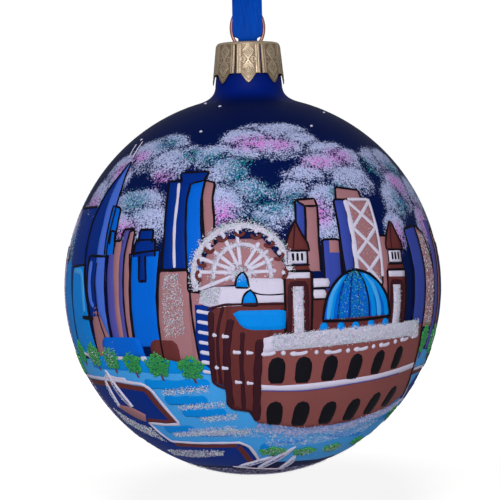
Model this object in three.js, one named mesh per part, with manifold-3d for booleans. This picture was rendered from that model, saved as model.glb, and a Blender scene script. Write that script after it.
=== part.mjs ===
// A hand-painted glass ball ornament on a ribbon: a blown glass ball with a neck, a pressed crown cap
// with eight leaves, a spring-wire hanger whose legs grip inside the neck, and a knotted satin ribbon
// that is threaded through the wire ring. Millimetres, +Z up, front towards -Y.
// The origin is where the ornament hangs: the inside of the top of the ribbon loop, under its knot.
import * as THREE from "three";
import { mergeVertices } from "three/addons/utils/BufferGeometryUtils.js";
import Module from "manifold-3d";

const wasm = await Module();
wasm.setup();

// ---- Driving dimensions -------------------------------------------------------------------------

const CLEARANCE = 0.3; // air between two pieces that touch on the real ornament

// Glass ball: a sphere below its equator, drawn up slightly above it where the neck was pulled.
const BALL_RADIUS = 50;
const BALL_TOP_RISE = 1; // how much taller than a sphere's the upper half is, before the neck
const GLASS_WALL = 1.1;
const NECK_RIM_RADIUS = 7.8; // outside, at the cut rim
const NECK_SPREAD = 1.1; // how much wider the neck is at its root than at its rim
const NECK_STRAIGHT = 10.3; // from where the fillet ends to the rim
const FILLET_HEIGHT = 3; // the fillet ends this far above the height the upper half would close at
const FILLET_REACH = 7.1; // how far out from the neck's root the fillet leaves the ball
const FILLET_PULL = 4.2; // how far down the neck's line the fillet is drawn; more makes it tighter

// Crown cap: one stamping, a flat top whose rim is folded down into leaves.
const CAP_SHEET = 0.35;
const CAP_FOLD_RADIUS = 0.8;
const LEAF_COUNT = 8;
const LEAF_SLIT = 0.3; // between two leaves, at the fold
const LEAF_EASE = 0.05; // how much more the leaves spread than the neck does
const LEAF_POINT_HEIGHT = 2.5; // the scalloped point below a leaf's shoulders
const LEAF_POINT_WIDTH = 3.9;

// Hanger: one spring wire, an oval ring above the cap and two legs that splay inside the neck.
const WIRE_RADIUS = 0.45;
const RING_HALF_WIDTH = 4.35; // of the wire's centre line
const RING_HALF_HEIGHT = 5.75;
const RING_CENTRE_HEIGHT = 4.1; // above the cap's top
const LEG_LENGTH = 20; // below the cap's top
const LEG_WAIST = 2.75; // the legs' least distance from the axis, just below the cap's plate

// Ribbon: one strip, gathered where it lies in the bottom of the ring.
const RIBBON_WIDTH = 8;
const RIBBON_THICKNESS = 0.5;
const RIBBON_SLIP = 0.75; // free width on each side of the fold, for the ring to slip sideways
const BIGHT_HEIGHT = 64; // from the origin down to the bottom of the bight
const PINCH_ABOVE_RING = 2.2; // the two strands come together this far above the ring
const PINCH_GAP = 1.3; // fabric left out of the solids where the ribbon bends
const LOOP_OPENING = 9; // between the strands at the middle of the loop
const KNOT_WIDTH = 8.4;
const KNOT_DEPTH = 6.4;
const KNOT_HEIGHT = 5.6;
const TAIL_LENGTH = 12;
const TAIL_LEAN = THREE.MathUtils.degToRad(16);

// ---- Worked-out places --------------------------------------------------------------------------

const BALL_TOP_HEIGHT = BALL_RADIUS + BALL_TOP_RISE;
const NECK_ROOT_RADIUS = NECK_RIM_RADIUS + NECK_SPREAD;
const SHOULDER_RADIUS = NECK_ROOT_RADIUS + FILLET_REACH;
const RIM_HEIGHT = BALL_TOP_HEIGHT + FILLET_HEIGHT + NECK_STRAIGHT; // above the ball's centre
const RIM_BELOW_CAP_TOP = CAP_FOLD_RADIUS; // the rim stands clear of the fold's inside corner
const CAP_TOP_RADIUS = NECK_RIM_RADIUS + CLEARANCE + CAP_SHEET;
const CAP_FLARE = NECK_SPREAD + LEAF_EASE;
const CAP_HEIGHT = RIM_BELOW_CAP_TOP + NECK_STRAIGHT; // the leaf tips end where the fillet begins
const LEAF_WIDTH = 2 * CAP_TOP_RADIUS * Math.sin(Math.PI / LEAF_COUNT) - LEAF_SLIT;
const CAP_TOP_Z = -BIGHT_HEIGHT - CLEARANCE;
const BALL_CENTRE_Z = CAP_TOP_Z - RIM_BELOW_CAP_TOP - RIM_HEIGHT;
const RING_CENTRE_Z = CAP_TOP_Z + RING_CENTRE_HEIGHT;
const RING_TOP_Z = RING_CENTRE_Z + RING_HALF_HEIGHT + WIRE_RADIUS;
const PINCH_Z = RING_TOP_Z + PINCH_ABOVE_RING;

// ---- Helpers between three.js geometry and manifold-3d solids -------------------------------------

function solidOf(geometry) {
  const bare = geometry.index ? geometry.toNonIndexed() : geometry.clone();
  bare.deleteAttribute("normal");
  bare.deleteAttribute("uv");
  const merged = mergeVertices(bare, 1e-4);
  return new wasm.Manifold(
    new wasm.Mesh({
      numProp: 3,
      vertProperties: merged.attributes.position.array,
      triVerts: new Uint32Array(merged.index.array),
    }),
  );
}

function geometryOf(solid) {
  const mesh = solid.getMesh();
  const points = new Float32Array((mesh.vertProperties.length / mesh.numProp) * 3);
  for (let i = 0; i < points.length / 3; i++) {
    for (let k = 0; k < 3; k++) points[i * 3 + k] = mesh.vertProperties[i * mesh.numProp + k];
  }
  const geometry = new THREE.BufferGeometry();
  geometry.setAttribute("position", new THREE.BufferAttribute(points, 3));
  geometry.setIndex(new THREE.BufferAttribute(new Uint32Array(mesh.triVerts), 1));
  geometry.computeVertexNormals();
  return geometry;
}

// A lathe whose profile's points are (radius, height), turned about +Z.
function turned(profile, segments) {
  return new THREE.LatheGeometry(profile, segments).rotateX(Math.PI / 2);
}

// An outline seen from the front, (x, z), given a depth along Y that is centred on the outline's plane.
function frontExtrusion(shape, depth, curveSegments = 12) {
  const options = { depth, bevelEnabled: false, curveSegments };
  return new THREE.ExtrudeGeometry(shape, options).translate(0, 0, -depth / 2).rotateX(Math.PI / 2);
}

// An outline seen from the side, (y, z), given a width along X that is centred on the axis.
function sideExtrusion(shape, width, curveSegments = 12) {
  const options = { depth: width, bevelEnabled: false, curveSegments };
  const toSide = new THREE.Matrix4().makeBasis(
    new THREE.Vector3(0, 1, 0),
    new THREE.Vector3(0, 0, 1),
    new THREE.Vector3(1, 0, 0),
  );
  return new THREE.ExtrudeGeometry(shape, options).translate(0, 0, -width / 2).applyMatrix4(toSide);
}

function smooth(t) {
  const clamped = THREE.MathUtils.clamp(t, 0, 1);
  return clamped * clamped * (3 - 2 * clamped);
}

// ---- Materials ------------------------------------------------------------------------------------

const lacqueredGlass = new THREE.MeshStandardMaterial({ color: 0x0b1f66, roughness: 0.55, metalness: 0 });
const goldTin = new THREE.MeshStandardMaterial({ color: 0xc4ab84, roughness: 0.35, metalness: 0.9 });
const copperedWire = new THREE.MeshStandardMaterial({ color: 0xa87a68, roughness: 0.35, metalness: 0.9 });
const blueSatin = new THREE.MeshStandardMaterial({ color: 0x0b49b0, roughness: 0.5, metalness: 0 });

// ---- Glass ball -----------------------------------------------------------------------------------

// The outside profile from the bottom pole to the rim, (radius, height above the ball's centre).
function ballOutline() {
  const LOWER_STEPS = 12;
  const UPPER_STEPS = 11;
  const FILLET_STEPS = 7;
  const shoulderAngle = Math.acos(SHOULDER_RADIUS / BALL_RADIUS);
  const points = [];
  for (let i = 0; i <= LOWER_STEPS; i++) {
    const angle = -Math.PI / 2 + (i / LOWER_STEPS) * (Math.PI / 2);
    points.push(new THREE.Vector2(BALL_RADIUS * Math.cos(angle), BALL_RADIUS * Math.sin(angle)));
  }
  for (let i = 1; i <= UPPER_STEPS; i++) {
    const angle = (i / UPPER_STEPS) * shoulderAngle;
    points.push(new THREE.Vector2(BALL_RADIUS * Math.cos(angle), BALL_TOP_HEIGHT * Math.sin(angle)));
  }
  const shoulder = points[points.length - 1];
  const tangent = new THREE.Vector2(
    -BALL_RADIUS * Math.sin(shoulderAngle),
    BALL_TOP_HEIGHT * Math.cos(shoulderAngle),
  ).normalize();
  const alongBall = FILLET_REACH * 0.45;
  const neckRoot = new THREE.Vector2(NECK_ROOT_RADIUS, BALL_TOP_HEIGHT + FILLET_HEIGHT);
  const fillet = new THREE.CubicBezierCurve(
    shoulder,
    shoulder.clone().addScaledVector(tangent, alongBall),
    new THREE.Vector2(NECK_ROOT_RADIUS, neckRoot.y - FILLET_PULL),
    neckRoot,
  );
  points.push(...fillet.getPoints(FILLET_STEPS).slice(1));
  points.push(new THREE.Vector2(NECK_RIM_RADIUS, RIM_HEIGHT));
  points[0].x = 0;
  return points;
}

// The inside profile: each outside point moved in by the wall, square to the outline.
function offsetInwards(outline, wall) {
  const inside = outline.map((point, i) => {
    const before = outline[Math.max(i - 1, 0)];
    const after = outline[Math.min(i + 1, outline.length - 1)];
    const along = after.clone().sub(before).normalize();
    return new THREE.Vector2(point.x - along.y * wall, point.y + along.x * wall);
  });
  inside[0].set(0, outline[0].y + wall);
  inside[inside.length - 1].y = outline[outline.length - 1].y;
  return inside;
}

function glassBall() {
  const SEGMENTS = 44;
  const outside = ballOutline();
  const inside = offsetInwards(outside, GLASS_WALL).reverse();
  const mesh = new THREE.Mesh(turned([...outside, ...inside], SEGMENTS), lacqueredGlass);
  mesh.name = "glass_ball";
  mesh.position.z = BALL_CENTRE_Z;
  return mesh;
}

// ---- Crown cap ------------------------------------------------------------------------------------

// Half of the cap's wall, from the axis out over the fold and down to the tips, (radius, height below the top).
function capShell() {
  const SEGMENTS = 64;
  const FOLD_STEPS = 4;
  const outer = [new THREE.Vector2(0, 0)];
  const inner = [new THREE.Vector2(0, -CAP_SHEET)];
  for (let i = 0; i <= FOLD_STEPS; i++) {
    const angle = Math.PI / 2 - (i / FOLD_STEPS) * (Math.PI / 2);
    const centre = new THREE.Vector2(CAP_TOP_RADIUS - CAP_FOLD_RADIUS, -CAP_FOLD_RADIUS);
    const out = new THREE.Vector2(Math.cos(angle), Math.sin(angle));
    outer.push(centre.clone().addScaledVector(out, CAP_FOLD_RADIUS));
    inner.push(centre.clone().addScaledVector(out, CAP_FOLD_RADIUS - CAP_SHEET));
  }
  outer.push(new THREE.Vector2(CAP_TOP_RADIUS + CAP_FLARE, -CAP_HEIGHT));
  inner.push(new THREE.Vector2(CAP_TOP_RADIUS + CAP_FLARE - CAP_SHEET, -CAP_HEIGHT));
  return solidOf(turned([...inner, ...outer.reverse()], SEGMENTS));
}

// One leaf's outline from the front, with square shoulders and an ogee point.
function leafOutline() {
  const half = LEAF_WIDTH / 2;
  const pointHalf = LEAF_POINT_WIDTH / 2;
  const shoulderZ = -CAP_HEIGHT + LEAF_POINT_HEIGHT;
  const tipHalf = pointHalf * 0.2;
  const shape = new THREE.Shape();
  shape.moveTo(-half, 0);
  shape.lineTo(-half, shoulderZ);
  shape.lineTo(-pointHalf, shoulderZ);
  shape.bezierCurveTo(-pointHalf * 0.72, shoulderZ, -pointHalf * 0.5, -CAP_HEIGHT, -tipHalf, -CAP_HEIGHT);
  shape.lineTo(tipHalf, -CAP_HEIGHT);
  shape.bezierCurveTo(pointHalf * 0.5, -CAP_HEIGHT, pointHalf * 0.72, shoulderZ, pointHalf, shoulderZ);
  shape.lineTo(half, shoulderZ);
  shape.lineTo(half, 0);
  shape.closePath();
  return shape;
}

// The slot in the cap's plate that a leg slides through, as the leg's place moves while it is drawn up.
function legSlot(side) {
  const room = WIRE_RADIUS + CLEARANCE;
  const innerX = LEG_WAIST - room;
  const outerX = ringHalfWidthAt(-RING_CENTRE_HEIGHT) + room;
  const slot = new THREE.BoxGeometry(outerX - innerX, room * 2, CAP_FOLD_RADIUS * 2);
  return solidOf(slot.translate((side * (innerX + outerX)) / 2, 0, 0));
}

function crownCap() {
  const plate = new THREE.CylinderGeometry(CAP_TOP_RADIUS, CAP_TOP_RADIUS, CAP_FOLD_RADIUS * 2, 64);
  let kept = solidOf(plate.rotateX(Math.PI / 2).translate(0, 0, 0));
  const leafReach = (CAP_TOP_RADIUS + CAP_FLARE) * 1.2;
  for (let i = 0; i < LEAF_COUNT; i++) {
    const leaf = frontExtrusion(leafOutline(), leafReach, 6).translate(0, -leafReach / 2, 0);
    leaf.rotateZ((i / LEAF_COUNT) * Math.PI * 2);
    kept = kept.add(solidOf(leaf));
  }
  let cap = capShell().intersect(kept);
  for (const side of [-1, 1]) cap = cap.subtract(legSlot(side));
  const mesh = new THREE.Mesh(geometryOf(cap), goldTin);
  mesh.name = "crown_cap";
  mesh.position.z = CAP_TOP_Z;
  return mesh;
}

// ---- Hanger wire ----------------------------------------------------------------------------------

// Half the ring's width on the wire's centre line, at a height above the ring's centre.
function ringHalfWidthAt(height) {
  return RING_HALF_WIDTH * Math.sqrt(1 - (height / RING_HALF_HEIGHT) ** 2);
}

// The wire's line from the left leg's end, round the ring and down to the right leg's end.
function wireLine() {
  const RING_STEPS = 12;
  const boreAtTips = NECK_RIM_RADIUS - GLASS_WALL;
  const tipX = boreAtTips - CLEARANCE - WIRE_RADIUS;
  const waistZ = -CAP_SHEET - WIRE_RADIUS * 2;
  const halfRing = [];
  const throatAngle = Math.asin(RING_CENTRE_HEIGHT / RING_HALF_HEIGHT);
  for (let i = 0; i <= RING_STEPS; i++) {
    const angle = -throatAngle + (i / RING_STEPS) * (throatAngle + Math.PI / 2);
    const x = RING_HALF_WIDTH * Math.cos(angle);
    const z = RING_CENTRE_HEIGHT + RING_HALF_HEIGHT * Math.sin(angle);
    halfRing.push(new THREE.Vector3(x, 0, z));
  }
  const legEnd = new THREE.Vector3(tipX - WIRE_RADIUS * 2, 0, -LEG_LENGTH);
  const leg = [
    legEnd,
    new THREE.Vector3(tipX, 0, -LEG_LENGTH + 2.4),
    new THREE.Vector3(tipX - 0.5, 0, -LEG_LENGTH * 0.72),
    new THREE.Vector3((tipX + LEG_WAIST) / 2, 0, -LEG_LENGTH * 0.42),
    new THREE.Vector3(LEG_WAIST + 0.15, 0, waistZ * 2.2),
    new THREE.Vector3(LEG_WAIST, 0, waistZ),
  ];
  const right = [...leg, ...halfRing];
  const left = right.slice(0, -1).map((p) => new THREE.Vector3(-p.x, 0, p.z));
  return new THREE.CatmullRomCurve3([...left, ...right.reverse()], false, "centripetal");
}

function hangerWire() {
  const section = new THREE.Shape();
  section.absarc(0, 0, WIRE_RADIUS, 0, Math.PI * 2);
  const options = { extrudePath: wireLine(), steps: 72, curveSegments: 4, bevelEnabled: false };
  const mesh = new THREE.Mesh(new THREE.ExtrudeGeometry(section, options), copperedWire);
  mesh.name = "hanger_wire";
  mesh.position.z = CAP_TOP_Z;
  return mesh;
}

// ---- Ribbon ---------------------------------------------------------------------------------------

const PINCHED = RIBBON_THICKNESS / 2 + CLEARANCE / 2; // a strand's centre from the middle, at the pinch
const BIGHT_RADIUS = WIRE_RADIUS + CLEARANCE + RIBBON_THICKNESS / 2; // strands pass on both sides of the wire
const LOWER_TOP_Z = PINCH_Z - PINCH_GAP / 2;
const UPPER_BOTTOM_Z = PINCH_Z + PINCH_GAP / 2;

// How far a strand's centre stands from the middle, between the bight and the pinch.
function lowerSpread(z) {
  return THREE.MathUtils.lerp(BIGHT_RADIUS, PINCHED, smooth((z - RING_TOP_Z) / (LOWER_TOP_Z - RING_TOP_Z)));
}

// The same in the loop, which opens like a lens and closes under the knot.
function upperSpread(z) {
  const along = (z - UPPER_BOTTOM_Z) / (0 - UPPER_BOTTOM_Z);
  return PINCHED + (LOOP_OPENING / 2) * Math.sin(Math.PI * THREE.MathUtils.clamp(along, 0, 1)) ** 1.3;
}

// The bight in the ring: a U from the side, gathered at the bottom to pass between the ring's sides.
function ribbonLower() {
  const STEPS = 10;
  const thick = RIBBON_THICKNESS / 2;
  const arcZ = -BIGHT_HEIGHT + BIGHT_RADIUS + thick;
  const heights = Array.from({ length: STEPS + 1 }, (_, i) => {
    return THREE.MathUtils.lerp(arcZ, LOWER_TOP_Z, (i / STEPS) ** 0.8);
  });
  const side = new THREE.Shape();
  side.moveTo(-BIGHT_RADIUS - thick, arcZ);
  side.absarc(0, arcZ, BIGHT_RADIUS + thick, Math.PI, Math.PI * 2, false);
  for (const z of heights.slice(1)) side.lineTo(lowerSpread(z) + thick, z);
  for (const z of [...heights].reverse()) side.lineTo(lowerSpread(z) - thick, z);
  side.absarc(0, arcZ, BIGHT_RADIUS - thick, Math.PI * 2, Math.PI, true);
  for (const z of heights.slice(1)) side.lineTo(-lowerSpread(z) + thick, z);
  for (const z of [...heights].reverse()) side.lineTo(-lowerSpread(z) - thick, z);

  const half = RIBBON_WIDTH / 2;
  const foldHeight = RIBBON_THICKNESS + CLEARANCE - RING_CENTRE_HEIGHT; // its inside, from the ring's centre
  const gathered = ringHalfWidthAt(foldHeight) - WIRE_RADIUS - RIBBON_SLIP;
  const gatherTopZ = RING_CENTRE_Z + RING_HALF_HEIGHT * 0.2;
  const front = new THREE.Shape();
  front.moveTo(-gathered, -BIGHT_HEIGHT - CLEARANCE);
  front.lineTo(gathered, -BIGHT_HEIGHT - CLEARANCE);
  front.lineTo(gathered, arcZ);
  front.bezierCurveTo(half * 0.9, arcZ + 1.2, half, gatherTopZ - 2, half, gatherTopZ);
  front.lineTo(half, PINCH_Z);
  front.lineTo(-half, PINCH_Z);
  front.lineTo(-half, gatherTopZ);
  front.bezierCurveTo(-half, gatherTopZ - 2, -half * 0.9, arcZ + 1.2, -gathered, arcZ);
  front.closePath();
  const depth = RIBBON_WIDTH * 2;
  const strip = solidOf(sideExtrusion(side, RIBBON_WIDTH * 1.5, 6));
  const bight = strip.intersect(solidOf(frontExtrusion(front, depth, 6)));
  const mesh = new THREE.Mesh(geometryOf(bight), blueSatin);
  mesh.name = "ribbon_lower";
  return mesh;
}

// The loop above the pinch: two strands that open for a twig and close under the knot.
function ribbonUpper() {
  const STEPS = 18;
  const thick = RIBBON_THICKNESS / 2;
  const topZ = RIBBON_THICKNESS;
  const heights = Array.from({ length: STEPS + 1 }, (_, i) => {
    return THREE.MathUtils.lerp(UPPER_BOTTOM_Z, 0, i / STEPS);
  });
  const side = new THREE.Shape();
  side.moveTo(-PINCHED + thick, UPPER_BOTTOM_Z);
  for (const z of heights.slice(1)) side.lineTo(-upperSpread(z) + thick, z);
  for (const z of [...heights].reverse()) side.lineTo(upperSpread(z) - thick, z);
  side.lineTo(PINCHED + thick, UPPER_BOTTOM_Z);
  for (const z of heights.slice(1)) side.lineTo(upperSpread(z) + thick, z);
  side.lineTo(PINCHED + thick, topZ);
  side.lineTo(-PINCHED - thick, topZ);
  for (const z of [...heights].reverse()) side.lineTo(-upperSpread(z) - thick, z);
  const mesh = new THREE.Mesh(sideExtrusion(side, RIBBON_WIDTH, 6), blueSatin);
  mesh.name = "ribbon_upper";
  return mesh;
}

// The overhand knot that joins the strip's two ends, and the ends themselves, standing up out of it.
function ribbonKnot() {
  const knotZ = RIBBON_THICKNESS + CLEARANCE + KNOT_HEIGHT / 2;
  const ball = new THREE.SphereGeometry(0.5, 20, 12).rotateX(Math.PI / 2);
  let knot = solidOf(ball.scale(KNOT_WIDTH, KNOT_DEPTH, KNOT_HEIGHT).translate(0, 0, knotZ));
  for (const side of [-1, 1]) {
    const tail = new THREE.BoxGeometry(RIBBON_WIDTH * 0.85, RIBBON_THICKNESS, TAIL_LENGTH);
    tail.translate(0, 0, TAIL_LENGTH / 2);
    tail.rotateY(side * TAIL_LEAN);
    tail.rotateX(side * TAIL_LEAN * 0.6);
    knot = knot.add(solidOf(tail.translate(0, 0, knotZ)));
  }
  const mesh = new THREE.Mesh(geometryOf(knot), blueSatin);
  mesh.name = "ribbon_knot";
  return mesh;
}

// ---- Assembly -------------------------------------------------------------------------------------

const ornament = new THREE.Group();
ornament.add(glassBall(), crownCap(), hangerWire(), ribbonLower(), ribbonUpper(), ribbonKnot());

export default ornament;
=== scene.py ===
"""A hand-painted glass ball ornament: lacquered glass, raised enamel, glitter, a pressed crown cap, a
wire ring and a satin ribbon. Metres, +Z up, front towards -Y; the origin is the hanging point.

The painting is laid out on the ball in degrees: longitude 0 faces the front and grows towards +X,
latitude is 0 on the equator and 90 at the neck."""

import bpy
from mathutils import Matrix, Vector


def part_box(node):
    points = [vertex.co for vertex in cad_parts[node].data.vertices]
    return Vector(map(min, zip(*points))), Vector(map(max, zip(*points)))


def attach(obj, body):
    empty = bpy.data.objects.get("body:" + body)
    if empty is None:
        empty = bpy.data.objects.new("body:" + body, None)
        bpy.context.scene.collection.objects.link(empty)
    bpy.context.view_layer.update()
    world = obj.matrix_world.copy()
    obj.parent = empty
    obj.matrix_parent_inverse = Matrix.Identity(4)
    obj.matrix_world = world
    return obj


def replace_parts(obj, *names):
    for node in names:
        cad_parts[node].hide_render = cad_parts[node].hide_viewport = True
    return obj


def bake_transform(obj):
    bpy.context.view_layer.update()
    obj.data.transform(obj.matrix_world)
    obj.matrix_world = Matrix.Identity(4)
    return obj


bl_info = {
    "name": "Painted glass ball ornament",
    "version": (1, 0, 0),
    "blender": (4, 5, 0),
    "location": "View3D > Sidebar > Ornament",
    "description": "Builds a hand-painted glass ball ornament around its packed frame",
    "category": "Add Mesh",
}

import bmesh
import bpy
import numpy as np

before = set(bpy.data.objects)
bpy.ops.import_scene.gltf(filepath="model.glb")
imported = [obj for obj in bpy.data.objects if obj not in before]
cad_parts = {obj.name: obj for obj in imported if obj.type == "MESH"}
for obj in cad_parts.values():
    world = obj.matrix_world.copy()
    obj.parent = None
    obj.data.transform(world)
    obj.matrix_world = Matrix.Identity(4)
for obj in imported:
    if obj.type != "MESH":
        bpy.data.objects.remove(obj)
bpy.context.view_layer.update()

MM = 0.001
BALL_LOW, BALL_HIGH = (np.array(corner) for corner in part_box("glass_ball"))
CAP_LOW, CAP_HIGH = (np.array(corner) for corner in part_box("crown_cap"))
WIRE_LOW, WIRE_HIGH = (np.array(corner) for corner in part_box("hanger_wire"))
LOWER_LOW, LOWER_HIGH = (np.array(corner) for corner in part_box("ribbon_lower"))
UPPER_LOW, UPPER_HIGH = (np.array(corner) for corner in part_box("ribbon_upper"))
KNOT_LOW, KNOT_HIGH = (np.array(corner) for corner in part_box("ribbon_knot"))
RADIUS = (BALL_HIGH[0] - BALL_LOW[0]) / 2
CENTRE_Z = BALL_LOW[2] + RADIUS
TOP_RISE = 1.0 * MM  # the upper half is this much taller than a sphere's


# ---- Sizes and colours a user would change ----------------------------------------------------------


def colour_property(name, description, rgb):
    """A colour property whose default is given as 0 to 255 screen values."""
    return bpy.props.FloatVectorProperty(
        name=name, description=description, default=linear(rgb)[:3], size=3, min=0, max=1, subtype="COLOR"
    )


def length_property(name, description, millimetres):
    """A length property whose default is given in millimetres."""
    return bpy.props.FloatProperty(
        name=name, description=description, default=millimetres * MM, min=0, subtype="DISTANCE", unit="LENGTH"
    )


def linear(rgb):
    """Screen values from 0 to 255 as a linear colour: below 0.04045 divided by 12.92, above it raised to
    2.4."""
    c = np.array(rgb, float) / 255
    c = np.where(c <= 0.04045, c / 12.92, ((c + 0.055) / 1.055) ** 2.4)
    return (*c.tolist(), 1.0)


PAINTS = {
    "navy": ("Navy enamel", (0, 40, 124)),
    "royal": ("Royal blue enamel", (0, 92, 200)),
    "bright": ("Bright blue enamel", (0, 124, 214)),
    "peri": ("Periwinkle enamel", (50, 66, 152)),
    "blade": ("Pale periwinkle enamel", (66, 104, 206)),
    "purple": ("Purple enamel", (74, 72, 150)),
    "rose": ("Rose enamel", (148, 104, 112)),
    "maroon": ("Maroon enamel", (92, 43, 44)),
    "brown": ("Arcade brown enamel", (124, 70, 70)),
    "dark": ("Aubergine enamel", (52, 22, 32)),
    "window": ("Window black enamel", (17, 17, 24)),
    "outline": ("Outline black enamel", (14, 10, 20)),
    "snow": ("Snow enamel", (192, 188, 212)),
    "water": ("Water blue enamel", (62, 150, 220)),
    "streak": ("Current blue enamel", (0, 126, 212)),
}


class OrnamentSizes(bpy.types.PropertyGroup):
    wall: length_property("Glass wall", "Thickness of the blown glass", 1.1)
    paint: length_property("Paint film", "Thickness of one film of enamel", 0.05)
    layer: length_property(
        "Layer step", "How much each later layer of enamel stands above the one before", 0.035
    )
    line: length_property("Outline width", "Width of the outliner's line", 0.64)
    ribbon_thickness: length_property("Ribbon thickness", "Thickness of the satin", 0.24)
    floor_drop: length_property("Floor drop", "Distance from the ball's bottom to the floor", 27.0)


class OrnamentColours(bpy.types.PropertyGroup):
    lacquer: colour_property("Lacquer", "Frosted lacquer on the glass", (0, 14, 66))
    neck: colour_property("Neck lacquer", "Thinner lacquer on the neck", (0, 24, 112))
    cloud: colour_property("Cloud", "Sponged cloud paint", (140, 154, 204))
    cloud_pink: colour_property("Cloud pink", "Pink sponged into the clouds", (198, 122, 208))
    cloud_teal: colour_property("Cloud teal", "Teal glitter paint in the clouds", (24, 112, 142))
    foliage: colour_property("Foliage", "Sponged tree paint", (0, 118, 58))
    cap: colour_property("Cap", "Champagne gold tin", (176, 160, 138))
    wire: colour_property("Wire", "Coppered wire", (158, 112, 104))
    satin: colour_property("Satin", "Ribbon satin", (0, 62, 160))


def sizes():
    """The sizes the user has set."""
    return bpy.context.scene.ornament_sizes


def chosen(name):
    """The user's colour of that name, opaque."""
    return (*getattr(bpy.context.scene.ornament_colours, name), 1.0)


# ---- Arrays to meshes -------------------------------------------------------------------------------


class Shell:
    """Gathers closed surfaces given as arrays of points and faces, and makes one mesh of them."""

    def __init__(self):
        """Starts with no surface."""
        self.points, self.quads, self.tris, self.tints = [], [], [], []
        self.count = 0

    def add(self, points, quads=None, tris=None, tint=None):
        """Adds points and the faces between them, numbered from 0, with one tint or one for each point."""
        points = np.asarray(points, float).reshape(-1, 3)
        for faces, kept in ((quads, self.quads), (tris, self.tris)):
            if faces is not None and len(faces):
                kept.append(np.asarray(faces, int) + self.count)
        self.points.append(points)
        self.tints.append(np.broadcast_to(0.5 if tint is None else np.asarray(tint, float), len(points)))
        self.count += len(points)

    def make(self, name, material, slot, body=None, smooth=True, marks=None, outwards=True):
        """The piece: its mesh, its material and, where it is rigid, the body it rides on; slot is not used."""
        if not self.count:
            raise RuntimeError(f"{name} has no surface")
        points = np.concatenate(self.points)
        quads = np.concatenate(self.quads) if self.quads else np.zeros((0, 4), int)
        tris = np.concatenate(self.tris) if self.tris else np.zeros((0, 3), int)
        corners = np.concatenate([quads.ravel(), tris.ravel()])
        totals = np.concatenate([np.full(len(quads), 4), np.full(len(tris), 3)])
        mesh = bpy.data.meshes.new(name)
        mesh.vertices.add(len(points))
        mesh.loops.add(len(corners))
        mesh.polygons.add(len(totals))
        mesh.vertices.foreach_set("co", points.ravel().astype(np.float32))
        mesh.loops.foreach_set("vertex_index", corners.astype(np.int32))
        mesh.polygons.foreach_set("loop_start", (np.cumsum(totals) - totals).astype(np.int32))
        mesh.update(calc_edges=True)
        mesh.validate()
        if outwards:
            edit = bmesh.new()
            edit.from_mesh(mesh)
            bmesh.ops.recalc_face_normals(edit, faces=edit.faces)
            edit.to_mesh(mesh)
            edit.free()
        mesh.polygons.foreach_set("use_smooth", np.full(len(mesh.polygons), smooth))
        every = {"tint": np.concatenate(self.tints), **(marks or {})}
        for mark, values in every.items():
            mesh.attributes.new(mark, "FLOAT", "POINT").data.foreach_set("value", values.astype(np.float32))
        mesh.materials.append(material)
        piece = bpy.data.objects.new(name, mesh)
        bpy.context.scene.collection.objects.link(piece)
        if body:
            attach(piece, body)
        return piece


def full_turn(count):
    """That many angles, evenly spaced round a circle from 0."""
    return np.linspace(0, 2 * np.pi, count, endpoint=False)


def turned(radius, height, count):
    """A section turned about the axis: at each of that many angles, x is the radius times the sine, y is
    minus the radius times the cosine, and z is the height."""
    angle = full_turn(count)
    across, away = radius[:, None] * np.sin(angle), -radius[:, None] * np.cos(angle)
    return np.stack([across, away, np.repeat(height[:, None], count, 1)], -1)


def ring_faces(rows, ring):
    """Quads between neighbouring rings of a tube with that many rows, each ring closed on itself."""
    i, k = np.meshgrid(np.arange(rows - 1), np.arange(ring), indexing="ij")
    after = (k + 1) % ring
    return np.stack(
        [i * ring + k, i * ring + after, (i + 1) * ring + after, (i + 1) * ring + k], -1
    ).reshape(-1, 4)


def slab(upper, lower):
    """A closed slab between two grids of one size: rings that run across the upper grid and back along the
    lower one, and their faces, with a strip of quads over each end."""
    rings = np.concatenate([upper, lower[:, ::-1]], 1)
    rows, ring, _ = rings.shape
    j = np.arange(ring // 2 - 1)
    cap = np.stack([j, j + 1, ring - 2 - j, ring - 1 - j], -1)
    return rings, np.concatenate([ring_faces(rows, ring), cap, cap[:, ::-1] + (rows - 1) * ring])


def tube(shell, rings, tint=None, ends=None):
    """A closed tube: rings is (rows, points round, 3), and each end is closed by a fan to its middle, or to
    the point given for it."""
    rows, ring, _ = rings.shape
    if ends is None:
        ends = np.stack([rings[0].mean(0), rings[-1].mean(0)])
    k = np.arange(ring)
    after = (k + 1) % ring
    last = (rows - 1) * ring
    fans = np.concatenate(
        [
            np.stack([np.full(ring, rows * ring), after, k], -1),
            np.stack([np.full(ring, rows * ring + 1), last + k, last + after], -1),
        ]
    )
    shell.add(np.concatenate([rings.reshape(-1, 3), ends]), ring_faces(rows, ring), fans, tint)


def spline(points, count):
    """Catmull-Rom through the points: each stretch is the cubic whose end slopes are half the chord between
    the neighbours on both sides, at count evenly spaced parameters."""
    points = np.asarray(points, float)
    t = np.linspace(0, len(points) - 1, count)
    i = np.minimum(t.astype(int), len(points) - 2)
    f = (t - i)[:, None]
    p0, p1, p2, p3 = (points[np.clip(i + step, 0, len(points) - 1)] for step in (-1, 0, 1, 2))
    return 0.5 * (
        2 * p1 + (p2 - p0) * f + (2 * p0 - 5 * p1 + 4 * p2 - p3) * f**2 + (3 * p1 - p0 - 3 * p2 + p3) * f**3
    )


def along(points, share):
    """Points at the given shares of a polyline's length, by straight interpolation."""
    points = np.asarray(points, float)
    steps = np.hypot(*np.diff(points, axis=0).T)
    reach = np.concatenate([[0], np.cumsum(steps)])
    return np.stack([np.interp(np.asarray(share) * reach[-1], reach, column) for column in points.T], -1)


def unit(vectors):
    """The vectors divided by their lengths."""
    return vectors / np.linalg.norm(vectors, axis=-1, keepdims=True)


# ---- The ball's surface and what is painted on it ------------------------------------------------------

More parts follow.
